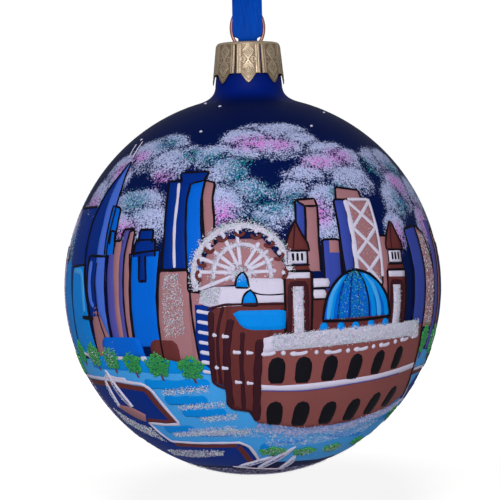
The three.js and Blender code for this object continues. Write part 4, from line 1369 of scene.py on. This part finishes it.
def build_harbour():
    """The water all round, the quays with their basins, streaks and glitter on the water, trees and boats."""
    harbour = Painting("harbour", 61)
    lons = np.linspace(-180, 180, 97)
    shore = -20.5 + 0.5 * np.sin(np.radians(lons * 7))
    low = np.interp(
        lons, [-180, -90, -60, -8, -3, 3, 10, 50, 85, 120, 180],
        [-56, -55, -53, -53, -57, -64, -66, -66, -62, -58, -56]
    )
    harbour.film("water", 0, np.stack([lons, low], -1), np.stack([lons, shore], -1))
    harbour.film(
        "streak", 1, "-66,-24 -50,-24.5 -32,-25.6 -22,-25.6 -14,-26",
        "-66,-19.6 -50,-20 -32,-20.2 -22,-20.2 -14,-20.6"
    )
    harbour.stroke("snow", 3, "-70,-19 -64,-20 -60,-19.6", 1.0)
    harbour.stroke("snow", 3, "-52,-19.6 -48,-20.4 -44,-20.4", 1.1)
    harbour.stroke("snow", 3, "-38,-20.6 -35.6,-20.6", 1.5)

    harbour.film("navy", 1, "-86,-46 -60,-45 -34.5,-44", "-86,-27.5 -56,-28.5 -39.5,-30.5")
    harbour.film("navy", 1, "-90,-54 -60,-54 -46.5,-53", "-90,-43.5 -60,-43.5 -49,-43.5")
    harbour.film("maroon", 2, "-80,-29.6 -56,-30.4 -41.5,-31.8", "-80,-27.6 -56,-28.4 -40,-30")
    harbour.film("maroon", 2, "-37.2,-43.2 -40,-36 -42.2,-31.6", "-33.8,-43.6 -37,-36 -39.6,-30.2")
    harbour.film("maroon", 2, "-50,-43.6 -42,-43.8 -34.6,-44", "-49,-41.8 -42,-42.2 -37,-42.4")
    shoreline = (
        "-86,-26.5 -66,-27.2 -52,-28 -41,-29 -38,-31 -35.5,-37 -32.6,-44 -40,-44.4 -49.5,-43.8 -48.5,-48 "
        "-46,-52.4 -30,-53 -8,-52.8 -3.5,-55 -0.5,-60 3,-66"
    )
    harbour.stroke("snow", 3, shoreline, 0.95, 0.14, curved=False)
    harbour.stroke("snow", 2, "-60,-26.4 -54,-27.2 -48,-27.8", 1.3)

    harbour.film("navy", 1, "-92,-68 -40,-69 -8,-70 2,-69", "-92,-52 -40,-53.4 -10,-53.2 -4,-57")
    harbour.film("maroon", 2, "-46,-55.2 -28,-55.8 -10,-55.6", "-46,-53.2 -28,-53.8 -9,-53.6")
    harbour.film("maroon", 2, "-10.4,-56 -8,-62 -5,-68", "-8,-54.4 -4.4,-60 0,-67")
    harbour.film(
        "navy", 1, "92,-66 130,-66 180,-66 230,-66 268,-66", "92,-58.5 130,-56.5 180,-56 230,-56 268,-55.2"
    )
    harbour.film(
        "maroon", 2, "92,-60.4 130,-58.6 180,-58 230,-58 268,-57.2",
        "92,-58.6 130,-56.6 180,-56 230,-56 268,-55.4"
    )
    harbour.stroke(
        "snow", 3,
        [(lon, np.interp(lon, [88, 130, 230, 272], [-58.6, -56, -55.6, -54.6])) for lon in range(88, 273, 4)],
        0.8
    )
    harbour.film("navy", 1, "70.5,-37 73,-33 76,-29", "86,-37 91,-32 96,-27")
    harbour.stroke("snow", 3, "68,-28.4 71,-32 75,-37 70,-42", 0.8)
    harbour.film("maroon", 2, "69,-28.6 76,-28 95,-27.4", "69,-27 76,-26.4 96,-26")
    harbour.film("maroon", 2, "84,-37 88.6,-32 93,-27.4", "86,-37 91,-32 96,-26")
    harbour.stroke("snow", 3, "67.6,-26.6 74,-26 97,-25.6 91.6,-32 86.4,-37.6 71,-37.6", 0.9, curved=False)
    harbour.stroke("snow", 3, "-86,-26.5 -86,-46 -90,-46 -90,-53", 0.9, curved=False)
    harbour.stroke("snow", 3, "88,-58.6 90,-62 92,-67", 0.8)

    streaks = (
        (-40, -15, -29.0, 2.8), (-34, -17, -34.6, 2.9), (-29, -11, -39.4, 2.8), (-43, -26, -46.6, 3.2),
        (-26, -10, -48.4, 2.2), (2, 8, -55.4, 5.0), (8, 24, -53, 1.4), (36, 60, -51, 1.6), (62, 74, -44, 1.8),
    )
    for start, end, lat, wide in streaks:
        harbour.stroke(
            "streak", 1, [(start, lat), ((start + end) / 2, lat - 0.3), (end, lat + 0.1)], wide, 0.05
        )
    for start, end, lat, count in (
        (-34, -16, -31.4, 520), (-30, -11, -37.0, 520), (-22, -7, -41.6, 460), (-40, -2, -48.2, 1500),
        (-30, -8, -46.6, 500)
    ):
        harbour.sprinkle(
            "glitter_silver", 2, [(start, lat - 1.4), (end, lat - 0.4)],
            [(start, lat + 0.4), (end, lat + 1.8)], count, 0.24
        )
    harbour.sprinkle(
        "glitter_silver", 2, "-72,-44 -60,-49 -50,-52.4", "-72,-38 -58,-44.4 -51,-46", 1500, 0.26
    )
    harbour.sprinkle(
        "glitter_silver", 2, "-62,-60.6 -40,-62 -20,-60", "-60,-57.4 -40,-57 -18,-57.4", 1300, 0.26
    )
    harbour.sprinkle("glitter_lilac", 2, "-88,-52 -88,-27", "-80,-52 -76,-29", 900)
    harbour.sprinkle(
        "glitter_lilac", 1, "-85,-84 -30,-84 30,-84 88,-84", "-85,-68 -30,-71 30,-71 88,-68", 2300
    )
    harbour.sprinkle("glitter_lilac", 1, "92,-84 180,-84 268,-84", "92,-70 180,-70 268,-70", 1300)
    harbour.sprinkle("glitter_silver", 1, "5,-55 30,-54.6 60,-50", "5,-50 30,-50.5 66,-44", 1300, 0.22)

    for lon, lat, wide, tall, snowy in (
        (-72, -18.6, 6, 6.4, False), (-61.5, -19.6, 6.4, 7, True), (-51.6, -20.4, 6.6, 7, True),
        (-42, -22, 6.6, 6.6, False),
        (-32, -22.6, 7.8, 7.4, False), (-20.4, -23.6, 8, 7.2, False), (67, -16.5, 4.4, 9, False),
        (78, -17, 6, 9, True),
        (9, -58, 7.4, 4.4, True), (28.6, -58.8, 7, 4, True), (47, -57.4, 6.6, 3.8, True),
        (66, -54.6, 6, 3.4, False), (74, -42, 4, 5, False),
    ):
        tree(harbour, lon, lat, wide, tall, snowy)
    for lon in np.arange(92, 280, 11.5):
        tree(
            harbour, lon + harbour.random.uniform(-2, 2), -22.6, harbour.random.uniform(6.4, 8), 7,
            harbour.random.uniform() < 0.5
        )
    for start in np.arange(84, 270, 17.0):
        for lat in (-31, -37.5, -44, -50.5):
            lon = start + harbour.random.uniform(-4, 6)
            reach = harbour.random.uniform(8, 15)
            harbour.stroke(
                "streak", 1, [(lon, lat), (lon + reach / 2, lat - 0.4), (lon + reach, lat)], 2.4, 0.05
            )
            harbour.sprinkle(
                "glitter_silver", 2, [(lon + 2, lat - 3), (lon + reach, lat - 2.6)],
                [(lon + 2, lat - 1.2), (lon + reach, lat - 0.8)], 150, 0.24
            )
    harbour.film("rose", 7, "-64,-37.4 -56,-42 -51,-43.4", "-64,-36.6 -54,-37.6 -48,-40.4")
    sail(harbour, (-53, -37.4), (-57.4, -24.4), 3.0, -0.4)
    sail(harbour, (-62.4, -37.4), (-60.6, -26.6), 2.2, -0.3)
    harbour.film("maroon", 7, "-18,-70 2,-73 28,-74", "-20,-68.4 2,-71 29,-72.4")
    harbour.stroke("snow", 8, "-20,-68.4 2,-71 29,-72.4", 0.7)
    sail(harbour, (-14, -69.2), (11, -61), 2.6, 0.3)
    sail(harbour, (2, -71), (21.4, -55.6), 3.0, 0.3)
    sail(harbour, (24, -72), (24.6, -61), 2.6, 0.3)
    boat(harbour, 120, -46, 0.85)
    boat(harbour, 184, -47, 1.0)
    boat(harbour, 238, -45, 0.9)
    harbour.dry()


# ---- Crown cap -------------------------------------------------------------------------------------------

LEAVES = 8
CAP_SHEET, CAP_FOLD, LEAF_SLIT = 0.35 * MM, 0.8 * MM, 0.3 * MM
LEAF_POINT, LEAF_POINT_WIDE = 2.5 * MM, 3.9 * MM
CAP_RADIUS, CAP_TURNS = 8.45 * MM, 192
STAMP_DEPTH, STAMP_GROUND = 0.14 * MM, 0.35  # the pattern's full height, and the share of it that lies flush


def ridge(distance, wide):
    """A rounded ridge: 1 on the line, falling as a bell curve of that width."""
    return np.exp(-((distance / wide) ** 2))


def pressed_pattern(x, z):
    """Height of the stamped pattern, 0 to 1, on a leaf x across and z down in millimetres: two ribs beside
    each edge, two double diamonds with a boss in each, lines crossing between them and small triangles beside
    those."""
    ribs = np.maximum(ridge(np.abs(x) - 2.72, 0.14), ridge(np.abs(x) - 2.2, 0.11))
    height = ribs * np.clip((8.7 + z) / 0.4, 0, 1)
    for middle in (-2.6, -7.2):
        far = np.abs(x) / 1.45 + np.abs(z - middle) / 1.95
        height = np.maximum(height, np.maximum(ridge(far - 1, 0.1), ridge(far - 0.62, 0.09)))
        height = np.maximum(height, ridge(far, 0.22) * 0.9)
    cross = np.abs(np.abs(x) - np.abs(z + 4.9) * 0.8)
    height = np.maximum(height, ridge(cross, 0.13) * (np.abs(z + 4.9) < 1.7))
    beside = np.maximum(
        np.abs(np.abs(x) - 1.55) / 0.5, np.abs(z + 4.9) / 0.75
    ) + np.abs(np.abs(x) - 1.3) * 0.5
    height = np.maximum(height, ridge(beside - 1, 0.2) * 0.8)
    hem = ridge(np.abs(x) * 1.3 + np.abs(z + 8.6) - 1.75, 0.12) * (z < -8.7)
    return np.maximum(height, hem * 0.8)


def build_cap():
    """The cap: a top disc whose edge is rolled down through a quarter circle, and eight leaves below it. A
    leaf's point (u, v) is u across its width and v down its length, which is greater in the middle than at
    its shoulders; it lies on the flaring cone, moved out by the stamped pattern's height."""
    top, tall = CAP_HIGH[2], CAP_HIGH[2] - CAP_LOW[2]
    radius = CAP_RADIUS
    flare = (CAP_HIGH[0] - CAP_LOW[0]) / 2 - radius
    shell, relief = Shell(), []

    roll = np.radians(np.linspace(90, -4, 9))
    plate = np.linspace(0.2 * MM, radius - CAP_FOLD, 14)[:-1]
    r = np.concatenate([plate, radius - CAP_FOLD + CAP_FOLD * np.cos(roll)])
    z = np.concatenate([np.zeros(13), -CAP_FOLD + CAP_FOLD * np.sin(roll)])
    inner = CAP_FOLD - CAP_SHEET
    r = np.concatenate([r, (radius - CAP_FOLD + inner * np.cos(roll))[::-1], [3 * MM, 0.2 * MM]])
    z = np.concatenate([z, (-CAP_FOLD + inner * np.sin(roll))[::-1], [-CAP_SHEET, -CAP_SHEET]])
    dish = -0.1 * MM * ridge(r - 5.2 * MM, 0.5 * MM) * (z > -CAP_SHEET * 0.9)
    tube(shell, turned(r, z + dish + top, CAP_TURNS))
    relief.append(np.full(shell.count, 0.62))

    across, down = 43, 96
    u = np.linspace(-1, 1, across)
    v = np.linspace(0, 1, down)
    half = radius * np.pi / LEAVES - LEAF_SLIT / 2
    x = u * half
    point = np.clip(1 - np.abs(x) / (LEAF_POINT_WIDE / 2), 0, 1)
    ogee = point**1.5 * (2.2 - 1.2 * point)
    reach = tall - LEAF_POINT + LEAF_POINT * np.clip(ogee, 0, 1)
    start = CAP_FOLD * 0.9
    z = -(start + (reach[None] - start) * v[:, None])
    height = pressed_pattern(np.broadcast_to(x / MM, z.shape), z / MM)
    lift = (height - STAMP_GROUND) * STAMP_DEPTH
    lift *= np.clip((-z - start) / (0.6 * MM), 0, 1)
    splay = radius + flare * (-z) / tall
    sway = np.random.default_rng(71).uniform(-1, 1, (LEAVES, 2))
    for leaf in range(LEAVES):
        turn = 2 * np.pi * leaf / LEAVES
        bend = 0.22 * MM * sway[leaf, 0] * v[:, None] ** 2 + 0.12 * MM * v[:, None] ** 3
        layers = []
        for depth in (0.0, -CAP_SHEET * 0.8):
            out = splay + lift + depth + bend
            theta = turn + x[None] / radius
            layers.append(np.stack([out * np.sin(theta), -out * np.cos(theta), z + top], -1))
        shell.add(*slab(*layers))
        relief.append(np.concatenate([height, height[:, ::-1]], 1).ravel())
    piece = shell.make(
        "crown_cap_pressed", tin_material(), "gold_tin", "cap", marks={"relief": np.concatenate(relief)}
    )
    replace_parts(piece, "crown_cap")


# ---- Hanger wire -----------------------------------------------------------------------------------------

WIRE_RADIUS, RING_WIDE, RING_TALL, RING_RISE = 0.45 * MM, 4.35 * MM, 5.75 * MM, 4.1 * MM
LEG_WAIST, LEG_TIP, LEG_LENGTH = 2.75 * MM, 5.65 * MM, 20 * MM
WIRE_ROWS, WIRE_SIDES = 240, 14


def build_hanger():
    """The hanger: a round section carried along one line, up one leg, round the oval ring and down the
    other."""
    throat = -np.arcsin(RING_RISE / RING_TALL)
    angle = np.linspace(throat, np.pi / 2, 14)
    ring = np.stack([RING_WIDE * np.cos(angle), RING_RISE + RING_TALL * np.sin(angle)], -1)
    leg = np.array(
        [
            (LEG_TIP - 0.9 * MM, -LEG_LENGTH),
            (LEG_TIP, -LEG_LENGTH + 2.4 * MM),
            (LEG_TIP - 0.5 * MM, -LEG_LENGTH * 0.72),
            ((LEG_TIP + LEG_WAIST) / 2, -LEG_LENGTH * 0.42),
            (LEG_WAIST + 0.15 * MM, -2.75 * MM),
            (LEG_WAIST, -1.25 * MM),
        ]
    )
    right = np.concatenate([leg, ring])
    left = right[:-1] * [-1, 1]
    line = spline(np.concatenate([left, right[::-1]]), WIRE_ROWS + 20)
    line = along(line, np.linspace(0, 1, WIRE_ROWS))
    path = np.stack([line[:, 0], np.zeros(WIRE_ROWS), line[:, 1] + CAP_HIGH[2]], -1)
    tangent = unit(np.gradient(path, axis=0))
    side = np.array([0.0, 1.0, 0.0])
    normal = np.cross(tangent, side)
    turn = full_turn(WIRE_SIDES)
    row = np.arange(WIRE_ROWS)
    end = np.clip(np.minimum(row, row[::-1]) / 2.0, 0, 1)
    thick = WIRE_RADIUS * (0.35 + 0.65 * np.sqrt(1 - (1 - end) ** 2))
    rings = path[:, None] + (
        side * np.cos(turn)[:, None] + normal[:, None] * np.sin(turn)[None, :, None]
    ) * thick[:, None, None]
    shell = Shell()
    tube(shell, rings)
    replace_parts(shell.make("hanger_spring_wire", wire_material(), "copper_wire", "hanger"), "hanger_wire")


# ---- Ribbon ----------------------------------------------------------------------------------------------

RIBBON_WIDE, GATHERED = 8 * MM, 5.1 * MM
RIBBON_COLUMNS = 25
KNOT_ROWS, KNOT_SIDES = 121, 28
END_ROWS, END_COLUMNS, END_LENGTH = 40, 17, 10.2 * MM
PINCHED, BIGHT, OPENING = 0.4 * MM, 1.0 * MM, 4.5 * MM
PINCH_Z = (LOWER_HIGH[2] + UPPER_LOW[2]) / 2


def add_strip_map(piece, across, lengthwise):
    """A UV map in metres: across the strip, then along it."""
    layer = piece.data.uv_layers.new(name="strip")
    index = np.empty(len(piece.data.loops), np.int32)
    piece.data.loops.foreach_get("vertex_index", index)
    layer.data.foreach_set("uv", np.stack([across, lengthwise], -1)[index].ravel().astype(np.float32))


def strip_shell(line, normal, wide, offsets, thick, crosswise):
    """A strip of cloth: at each point of a line, points u across at x = u wide / 2, moved along the normal by
    the offsets and half the thickness either way. Crosswise is the direction of u."""
    u = np.linspace(-1, 1, offsets.shape[1])
    middle = line[:, None] + crosswise * (u * wide[:, None] / 2)[..., None]
    sides = [middle + normal[:, None] * (offsets + part * thick / 2)[..., None] for part in (1, -1)]
    rings = np.concatenate([sides[0], sides[1][:, ::-1]], 1)
    return rings, np.concatenate([u, u[::-1]])


def build_ribbon():
    """The ribbon: a line from the knot down the front of the loop, in at the pinch, round under the ring and
    back up behind, with the strip's width gathered in the fold and its section rippled lengthwise."""
    ring_top = WIRE_HIGH[2]
    low = LOWER_LOW[2] + BIGHT + 0.25 * MM
    ups = np.linspace(1.9 * MM, PINCH_Z, 90)
    rise = np.clip((ups - UPPER_LOW[2]) / -UPPER_LOW[2], 0, 1)
    upper = PINCHED + OPENING * np.sin(np.pi * rise) ** 1.3 * (ups < 0)
    downs = np.linspace(PINCH_Z, low, 46)[1:]
    t = np.clip((downs - ring_top) / (LOWER_HIGH[2] - ring_top), 0, 1)
    lower = BIGHT + (PINCHED - BIGHT) * t * t * (3 - 2 * t)
    turn = np.linspace(0, np.pi, 15)[1:-1]
    front = np.concatenate([np.stack([-upper, ups], -1), np.stack([-lower, downs], -1)])
    bend = np.stack([-BIGHT * np.cos(turn), low - BIGHT * np.sin(turn)], -1)
    line = np.concatenate([front, bend, front[::-1] * [-1, 1]])
    for _ in range(3):
        line[1:-1] = (line[:-2] + 2 * line[1:-1] + line[2:]) / 4
    tangent = unit(np.gradient(line, axis=0))
    normal = np.stack([tangent[:, 1], -tangent[:, 0]], -1)
    height = line[:, 1]
    t = np.clip((height - low) / (1.3 * MM), 0, 1)
    wide = GATHERED + (RIBBON_WIDE - GATHERED) * np.sqrt(1 - (1 - t) ** 2)
    near_knot = np.clip((height + 5 * MM) / (6.5 * MM), 0, 1)
    wide *= 1 - 0.35 * near_knot**2
    u = np.linspace(-1, 1, RIBBON_COLUMNS)
    share = np.linspace(0, 1, len(line))
    free = np.clip((height - low) / (4 * MM), 0, 1)[:, None]
    gather = ridge(height - PINCH_Z, 6 * MM)[:, None] * 0.12 + 0.1 + 0.14 * near_knot[:, None]
    ripple = np.cos(np.pi * (4.2 * u[None] + 1.2 * np.sin(share[:, None] * 9))) * gather
    cup = (0.42 + 0.3 * np.sin(share[:, None] * 14)) * u[None] ** 2
    offsets = (ripple + cup) * free * MM + 0.02 * MM
    edge = np.abs(u)[None] > 0.93
    thick = np.where(edge, 1.35, 1.0) * sizes().ribbon_thickness
    path = np.stack([np.zeros(len(line)), line[:, 0], line[:, 1]], -1)
    out = np.stack([np.zeros(len(line)), normal[:, 0], normal[:, 1]], -1)
    rings, columns_u = strip_shell(path, out, wide, offsets, thick, np.array([1.0, 0, 0]))
    shell = Shell()
    tube(shell, rings)
    piece = shell.make("satin_ribbon", satin_material(), "blue_satin")
    reach = np.concatenate([[0], np.cumsum(np.linalg.norm(np.diff(path, axis=0), axis=1))])
    across = np.concatenate([np.tile(columns_u * RIBBON_WIDE / 2, len(path)), [0, 0]])
    lengthwise = np.concatenate([np.repeat(reach, rings.shape[1]), [0, reach[-1]]])
    add_strip_map(piece, across, lengthwise)
    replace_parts(piece, "ribbon_lower", "ribbon_upper")
    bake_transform(piece)
    return piece


def build_knot():
    """The overhand knot: a flattened section carried round a three-lobed line, x = sin t + 2 sin 2t, y = cos
    t - 2 cos 2t, z = -sin 3t, scaled to the knot's size, and two ends that stand up out of it, curling a
    little."""
    centre = np.array([0, 0, KNOT_LOW[2] + 2.8 * MM])
    t = np.linspace(0, 2 * np.pi, KNOT_ROWS)
    line = np.stack([np.sin(t) + 2 * np.sin(2 * t), np.cos(t) - 2 * np.cos(2 * t), -np.sin(3 * t)], -1)
    line = line * np.array([0.92, 0.62, 1.15]) * MM + centre
    tangent = unit(np.gradient(line, axis=0))
    tangent[[0, -1]] = unit(tangent[0] + tangent[-1])
    side = unit(np.cross(tangent, [0.0, 0.15, 1.0]))
    up = np.cross(side, tangent)
    turn = full_turn(KNOT_SIDES)
    pleat = 1 + 0.1 * np.cos(6 * turn)
    flat, tall = 0.75 * np.cos(turn) * pleat, 1.7 * np.sin(turn) * pleat
    rings = line[:, None] + (side[:, None] * flat[None, :, None] + up[:, None] * tall[None, :, None]) * MM
    shell = Shell()
    tube(shell, rings)
    reach = np.concatenate([[0], np.cumsum(np.linalg.norm(np.diff(line, axis=0), axis=1))])
    across = [np.tile(turn * 1.3 * MM, KNOT_ROWS), [0, 0]]
    lengthwise = [np.repeat(reach, KNOT_SIDES), [0, reach[-1]]]
    for side_sign in (-1, 1):
        v = np.linspace(0, 1, END_ROWS)
        lean = side_sign * np.radians(15) * v
        far = v * END_LENGTH
        away = -side_sign * (0.1 + 0.9 * v**2) * 1.1 * MM
        line = np.stack([np.sin(lean) * far, away, np.cos(lean) * far], -1) + centre
        tangent = unit(np.gradient(line, axis=0))
        crosswise = unit(np.cross(np.array([0, -1.0, 0]), tangent))
        normal = np.cross(tangent, crosswise)
        wide = (3.0 + 4.2 * np.clip(v / 0.55, 0, 1) ** 0.7) * MM
        u = np.linspace(-1, 1, END_COLUMNS)
        waves = 0.3 * np.cos(5 * u[None] + 2 * v[:, None]) * (1.1 - v[:, None])
        ripple = (waves + 0.35 * side_sign * u[None] ** 2) * MM
        thick = sizes().ribbon_thickness
        path_wide = wide[:, None] / 2 * u
        slant = (v**6)[:, None] * 1.1 * MM * u * side_sign
        base = line[:, None] + crosswise[:, None] * path_wide[..., None] + tangent[:, None] * slant[..., None]
        sides = [base + normal[:, None] * (ripple + part * thick / 2)[..., None] for part in (1, -1)]
        rings = np.concatenate([sides[0], sides[1][:, ::-1]], 1)
        tube(shell, rings)
        both = np.concatenate([u, u[::-1]]) * RIBBON_WIDE / 2
        across += [np.tile(both, END_ROWS), [0, 0]]
        lengthwise += [np.repeat(far, 2 * END_COLUMNS), [0, far[-1]]]
    piece = shell.make("satin_knot", satin_material(), "blue_satin", "ribbon")
    add_strip_map(piece, np.concatenate(across), np.concatenate(lengthwise))
    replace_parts(piece, "ribbon_knot")
    return piece


# ---- Stage -----------------------------------------------------------------------------------------------


FLOOR_RADIUS, FLOOR_SIDES = 4.0, 64
LENS, SENSOR, SHIFT_X, SHIFT_Y = 200, 36, -0.0058, 0.0735  # the first two in millimetres, the rest in widths
CAMERA_AWAY, CAMERA_ROLL, CAMERA_SEES = 0.743, 1.2, 20  # metres from the axis, degrees, and metres
LAMPS = (  # name, place from the ball's centre, width, power and colour
    ("key", (-0.03, -1.5, 0.38), 0.14, 17.5, (1.0, 0.99, 0.97)),
    ("top", (-0.3, -0.8, 0.8), 0.4, 1.6, (1.0, 1.0, 1.0)),
)


def build_stage():
    """A pale round floor below the ornament, a white surround that is brighter behind than in front, a key
    lamp in front of the ball and above it, a weak lamp above on the left, and the camera, level with the ball
    and slightly rolled."""
    scene = bpy.context.scene
    scene.view_settings.view_transform = "Standard"
    world = bpy.data.worlds.new("white_surround")
    scene.world = world
    world.use_nodes = True
    tree = world.node_tree
    place = node(tree, "ShaderNodeTexCoord").outputs["Generated"]
    split = node(tree, "ShaderNodeSeparateXYZ", {"Vector": place})
    back = sums(tree, "SUBTRACT", split.outputs["Y"], sums(tree, "MULTIPLY", split.outputs["Z"], 0.35))
    glow = ranged(tree, back, -0.3, 0.9, 0.12, 0.5)
    seen = node(tree, "ShaderNodeLightPath").outputs["Is Camera Ray"]
    glow = sums(tree, "MAXIMUM", glow, seen)
    light = grey(tree, glow)
    background = tree.nodes["Background"]
    tree.links.new(light, background.inputs["Color"])
    background.inputs["Strength"].default_value = 1.02

    floor_z = BALL_LOW[2] - sizes().floor_drop
    turn = full_turn(FLOOR_SIDES)
    edge = np.stack(
        [FLOOR_RADIUS * np.cos(turn), FLOOR_RADIUS * np.sin(turn), np.full(FLOOR_SIDES, floor_z)], -1
    )
    shell = Shell()
    k = np.arange(FLOOR_SIDES)
    fan = np.stack([np.zeros(FLOOR_SIDES, int), 1 + k, 1 + (k + 1) % FLOOR_SIDES], -1)
    shell.add(np.concatenate([[[0, 0, floor_z]], edge]), tris=fan)
    material, tree, shader = surface("pale_floor")
    grain = noise(tree, 40, 2)
    colour = mixed(tree, ranged(tree, grain, 0.3, 0.7), (0.86, 0.86, 0.86, 1), (0.88, 0.88, 0.88, 1))
    place = own_place(tree)
    away = node(tree, "ShaderNodeVectorMath", {0: place}, operation="LENGTH").outputs["Value"]
    own = ranged(tree, away, 0.45, 1.15, 0.69, 1.0)
    seen = node(tree, "ShaderNodeLightPath").outputs["Is Camera Ray"]
    own = sums(tree, "MULTIPLY", own, ranged(tree, seen, 0, 1, 0.08, 1.0))
    finish(tree, shader, colour, 0.95, Emission_Color=(1, 1, 1, 1), Specular_IOR_Level=0.0)
    tree.links.new(own, shader.inputs["Emission Strength"])
    floor = shell.make("floor", material, "lacquered_glass", smooth=False, outwards=False)

    for name, place, size, power, tone in LAMPS:
        lamp = bpy.data.lights.new(name, "AREA")
        lamp.shape, lamp.size, lamp.energy, lamp.color = "DISK", size, power, tone
        holder = bpy.data.objects.new(name, lamp)
        scene.collection.objects.link(holder)
        middle = np.array([0, 0, CENTRE_Z])
        spot = np.array(place) + middle
        holder.location = spot
        holder.rotation_euler = look(middle - spot)

    lens = bpy.data.cameras.new("camera")
    lens.lens, lens.sensor_width = LENS, SENSOR
    lens.shift_x, lens.shift_y = SHIFT_X, SHIFT_Y
    lens.clip_end = CAMERA_SEES
    camera = bpy.data.objects.new("camera", lens)
    scene.collection.objects.link(camera)
    camera.location = (0, -CAMERA_AWAY, CENTRE_Z)
    camera.rotation_euler = (np.pi / 2, np.radians(CAMERA_ROLL), 0)
    scene.camera = camera


def look(aim):
    """Euler angles that turn a lamp, which shines down its own -Z, along a direction."""
    x, y, z = aim / np.linalg.norm(aim)
    return (np.arccos(-z), 0.0, np.arctan2(x, -y) + np.pi)


# ---- Operators, panel and registration ---------------------------------------------------------------------


def build_ribbon_and_knot():
    """The knot and the ribbon."""
    knot = build_knot()
    ribbon = build_ribbon()


class ORNAMENT_OT_stage(bpy.types.Operator):
    """Add the floor, the lights, the surround and the camera"""

    bl_idname = "ornament.stage"
    bl_label = "Stage"
    bl_options = {"REGISTER", "UNDO"}

    def execute(self, context):
        build_stage()
        return {"FINISHED"}


class ORNAMENT_OT_hanger(bpy.types.Operator):
    """Add the spring-wire ring and legs"""

    bl_idname = "ornament.hanger"
    bl_label = "Hanger wire"
    bl_options = {"REGISTER", "UNDO"}

    def execute(self, context):
        build_hanger()
        return {"FINISHED"}


class ORNAMENT_OT_ribbon(bpy.types.Operator):
    """Add the satin ribbon and its knot"""

    bl_idname = "ornament.ribbon"
    bl_label = "Ribbon"
    bl_options = {"REGISTER", "UNDO"}

    def execute(self, context):
        build_ribbon_and_knot()
        return {"FINISHED"}


class ORNAMENT_OT_ball(bpy.types.Operator):
    """Add the lacquered ball with its clouds and stars"""

    bl_idname = "ornament.ball"
    bl_label = "Glass ball"
    bl_options = {"REGISTER", "UNDO"}

    def execute(self, context):
        build_ball()
        return {"FINISHED"}


class ORNAMENT_OT_towers(bpy.types.Operator):
    """Paint the skyline"""

    bl_idname = "ornament.towers"
    bl_label = "Towers"
    bl_options = {"REGISTER", "UNDO"}

    def execute(self, context):
        build_towers()
        return {"FINISHED"}


class ORNAMENT_OT_wheel(bpy.types.Operator):
    """Paint the big wheel and the snowy roofs"""

    bl_idname = "ornament.wheel"
    bl_label = "Big wheel"
    bl_options = {"REGISTER", "UNDO"}

    def execute(self, context):
        build_wheel()
        return {"FINISHED"}


class ORNAMENT_OT_hall(bpy.types.Operator):
    """Paint the domed hall and its arcade"""

    bl_idname = "ornament.hall"
    bl_label = "Market hall"
    bl_options = {"REGISTER", "UNDO"}

    def execute(self, context):
        build_hall()
        return {"FINISHED"}


class ORNAMENT_OT_harbour(bpy.types.Operator):
    """Paint the water, quays, trees and boats"""

    bl_idname = "ornament.harbour"
    bl_label = "Harbour"
    bl_options = {"REGISTER", "UNDO"}

    def execute(self, context):
        build_harbour()
        return {"FINISHED"}


class ORNAMENT_OT_cap(bpy.types.Operator):
    """Add the pressed cap with eight leaves"""

    bl_idname = "ornament.cap"
    bl_label = "Crown cap"
    bl_options = {"REGISTER", "UNDO"}

    def execute(self, context):
        build_cap()
        return {"FINISHED"}


OPERATORS = [
    ORNAMENT_OT_stage,
    ORNAMENT_OT_hanger,
    ORNAMENT_OT_ribbon,
    ORNAMENT_OT_ball,
    ORNAMENT_OT_towers,
    ORNAMENT_OT_wheel,
    ORNAMENT_OT_hall,
    ORNAMENT_OT_harbour,
    ORNAMENT_OT_cap,
]


class ORNAMENT_PT_panel(bpy.types.Panel):
    """Sizes, colours and building steps of the ornament"""

    bl_label = "Ornament"
    bl_idname = "ORNAMENT_PT_panel"
    bl_space_type = "VIEW_3D"
    bl_region_type = "UI"
    bl_category = "Ornament"

    def draw(self, context):
        """Lists the sizes, the colours and the building steps."""
        for group_name, kind in (("ornament_sizes", OrnamentSizes), ("ornament_colours", OrnamentColours)):
            box = self.layout.box()
            for name in kind.__annotations__:
                box.prop(getattr(context.scene, group_name), name)
        for made in OPERATORS:
            self.layout.operator(made.bl_idname)


CLASSES = [OrnamentSizes, OrnamentColours, *OPERATORS, ORNAMENT_PT_panel]


def register():
    """Registers the classes and hangs the sizes and colours on the scene."""
    for made in CLASSES:
        bpy.utils.register_class(made)
    bpy.types.Scene.ornament_sizes = bpy.props.PointerProperty(type=OrnamentSizes)
    bpy.types.Scene.ornament_colours = bpy.props.PointerProperty(type=OrnamentColours)


def unregister():
    """Takes off what register added, in reverse."""
    del bpy.types.Scene.ornament_colours
    del bpy.types.Scene.ornament_sizes
    for made in reversed(CLASSES):
        bpy.utils.unregister_class(made)


def main():
    register()
    for made in OPERATORS:
        getattr(bpy.ops.ornament, made.bl_idname.split(".")[1])()


if __name__ == "__main__":
    main()
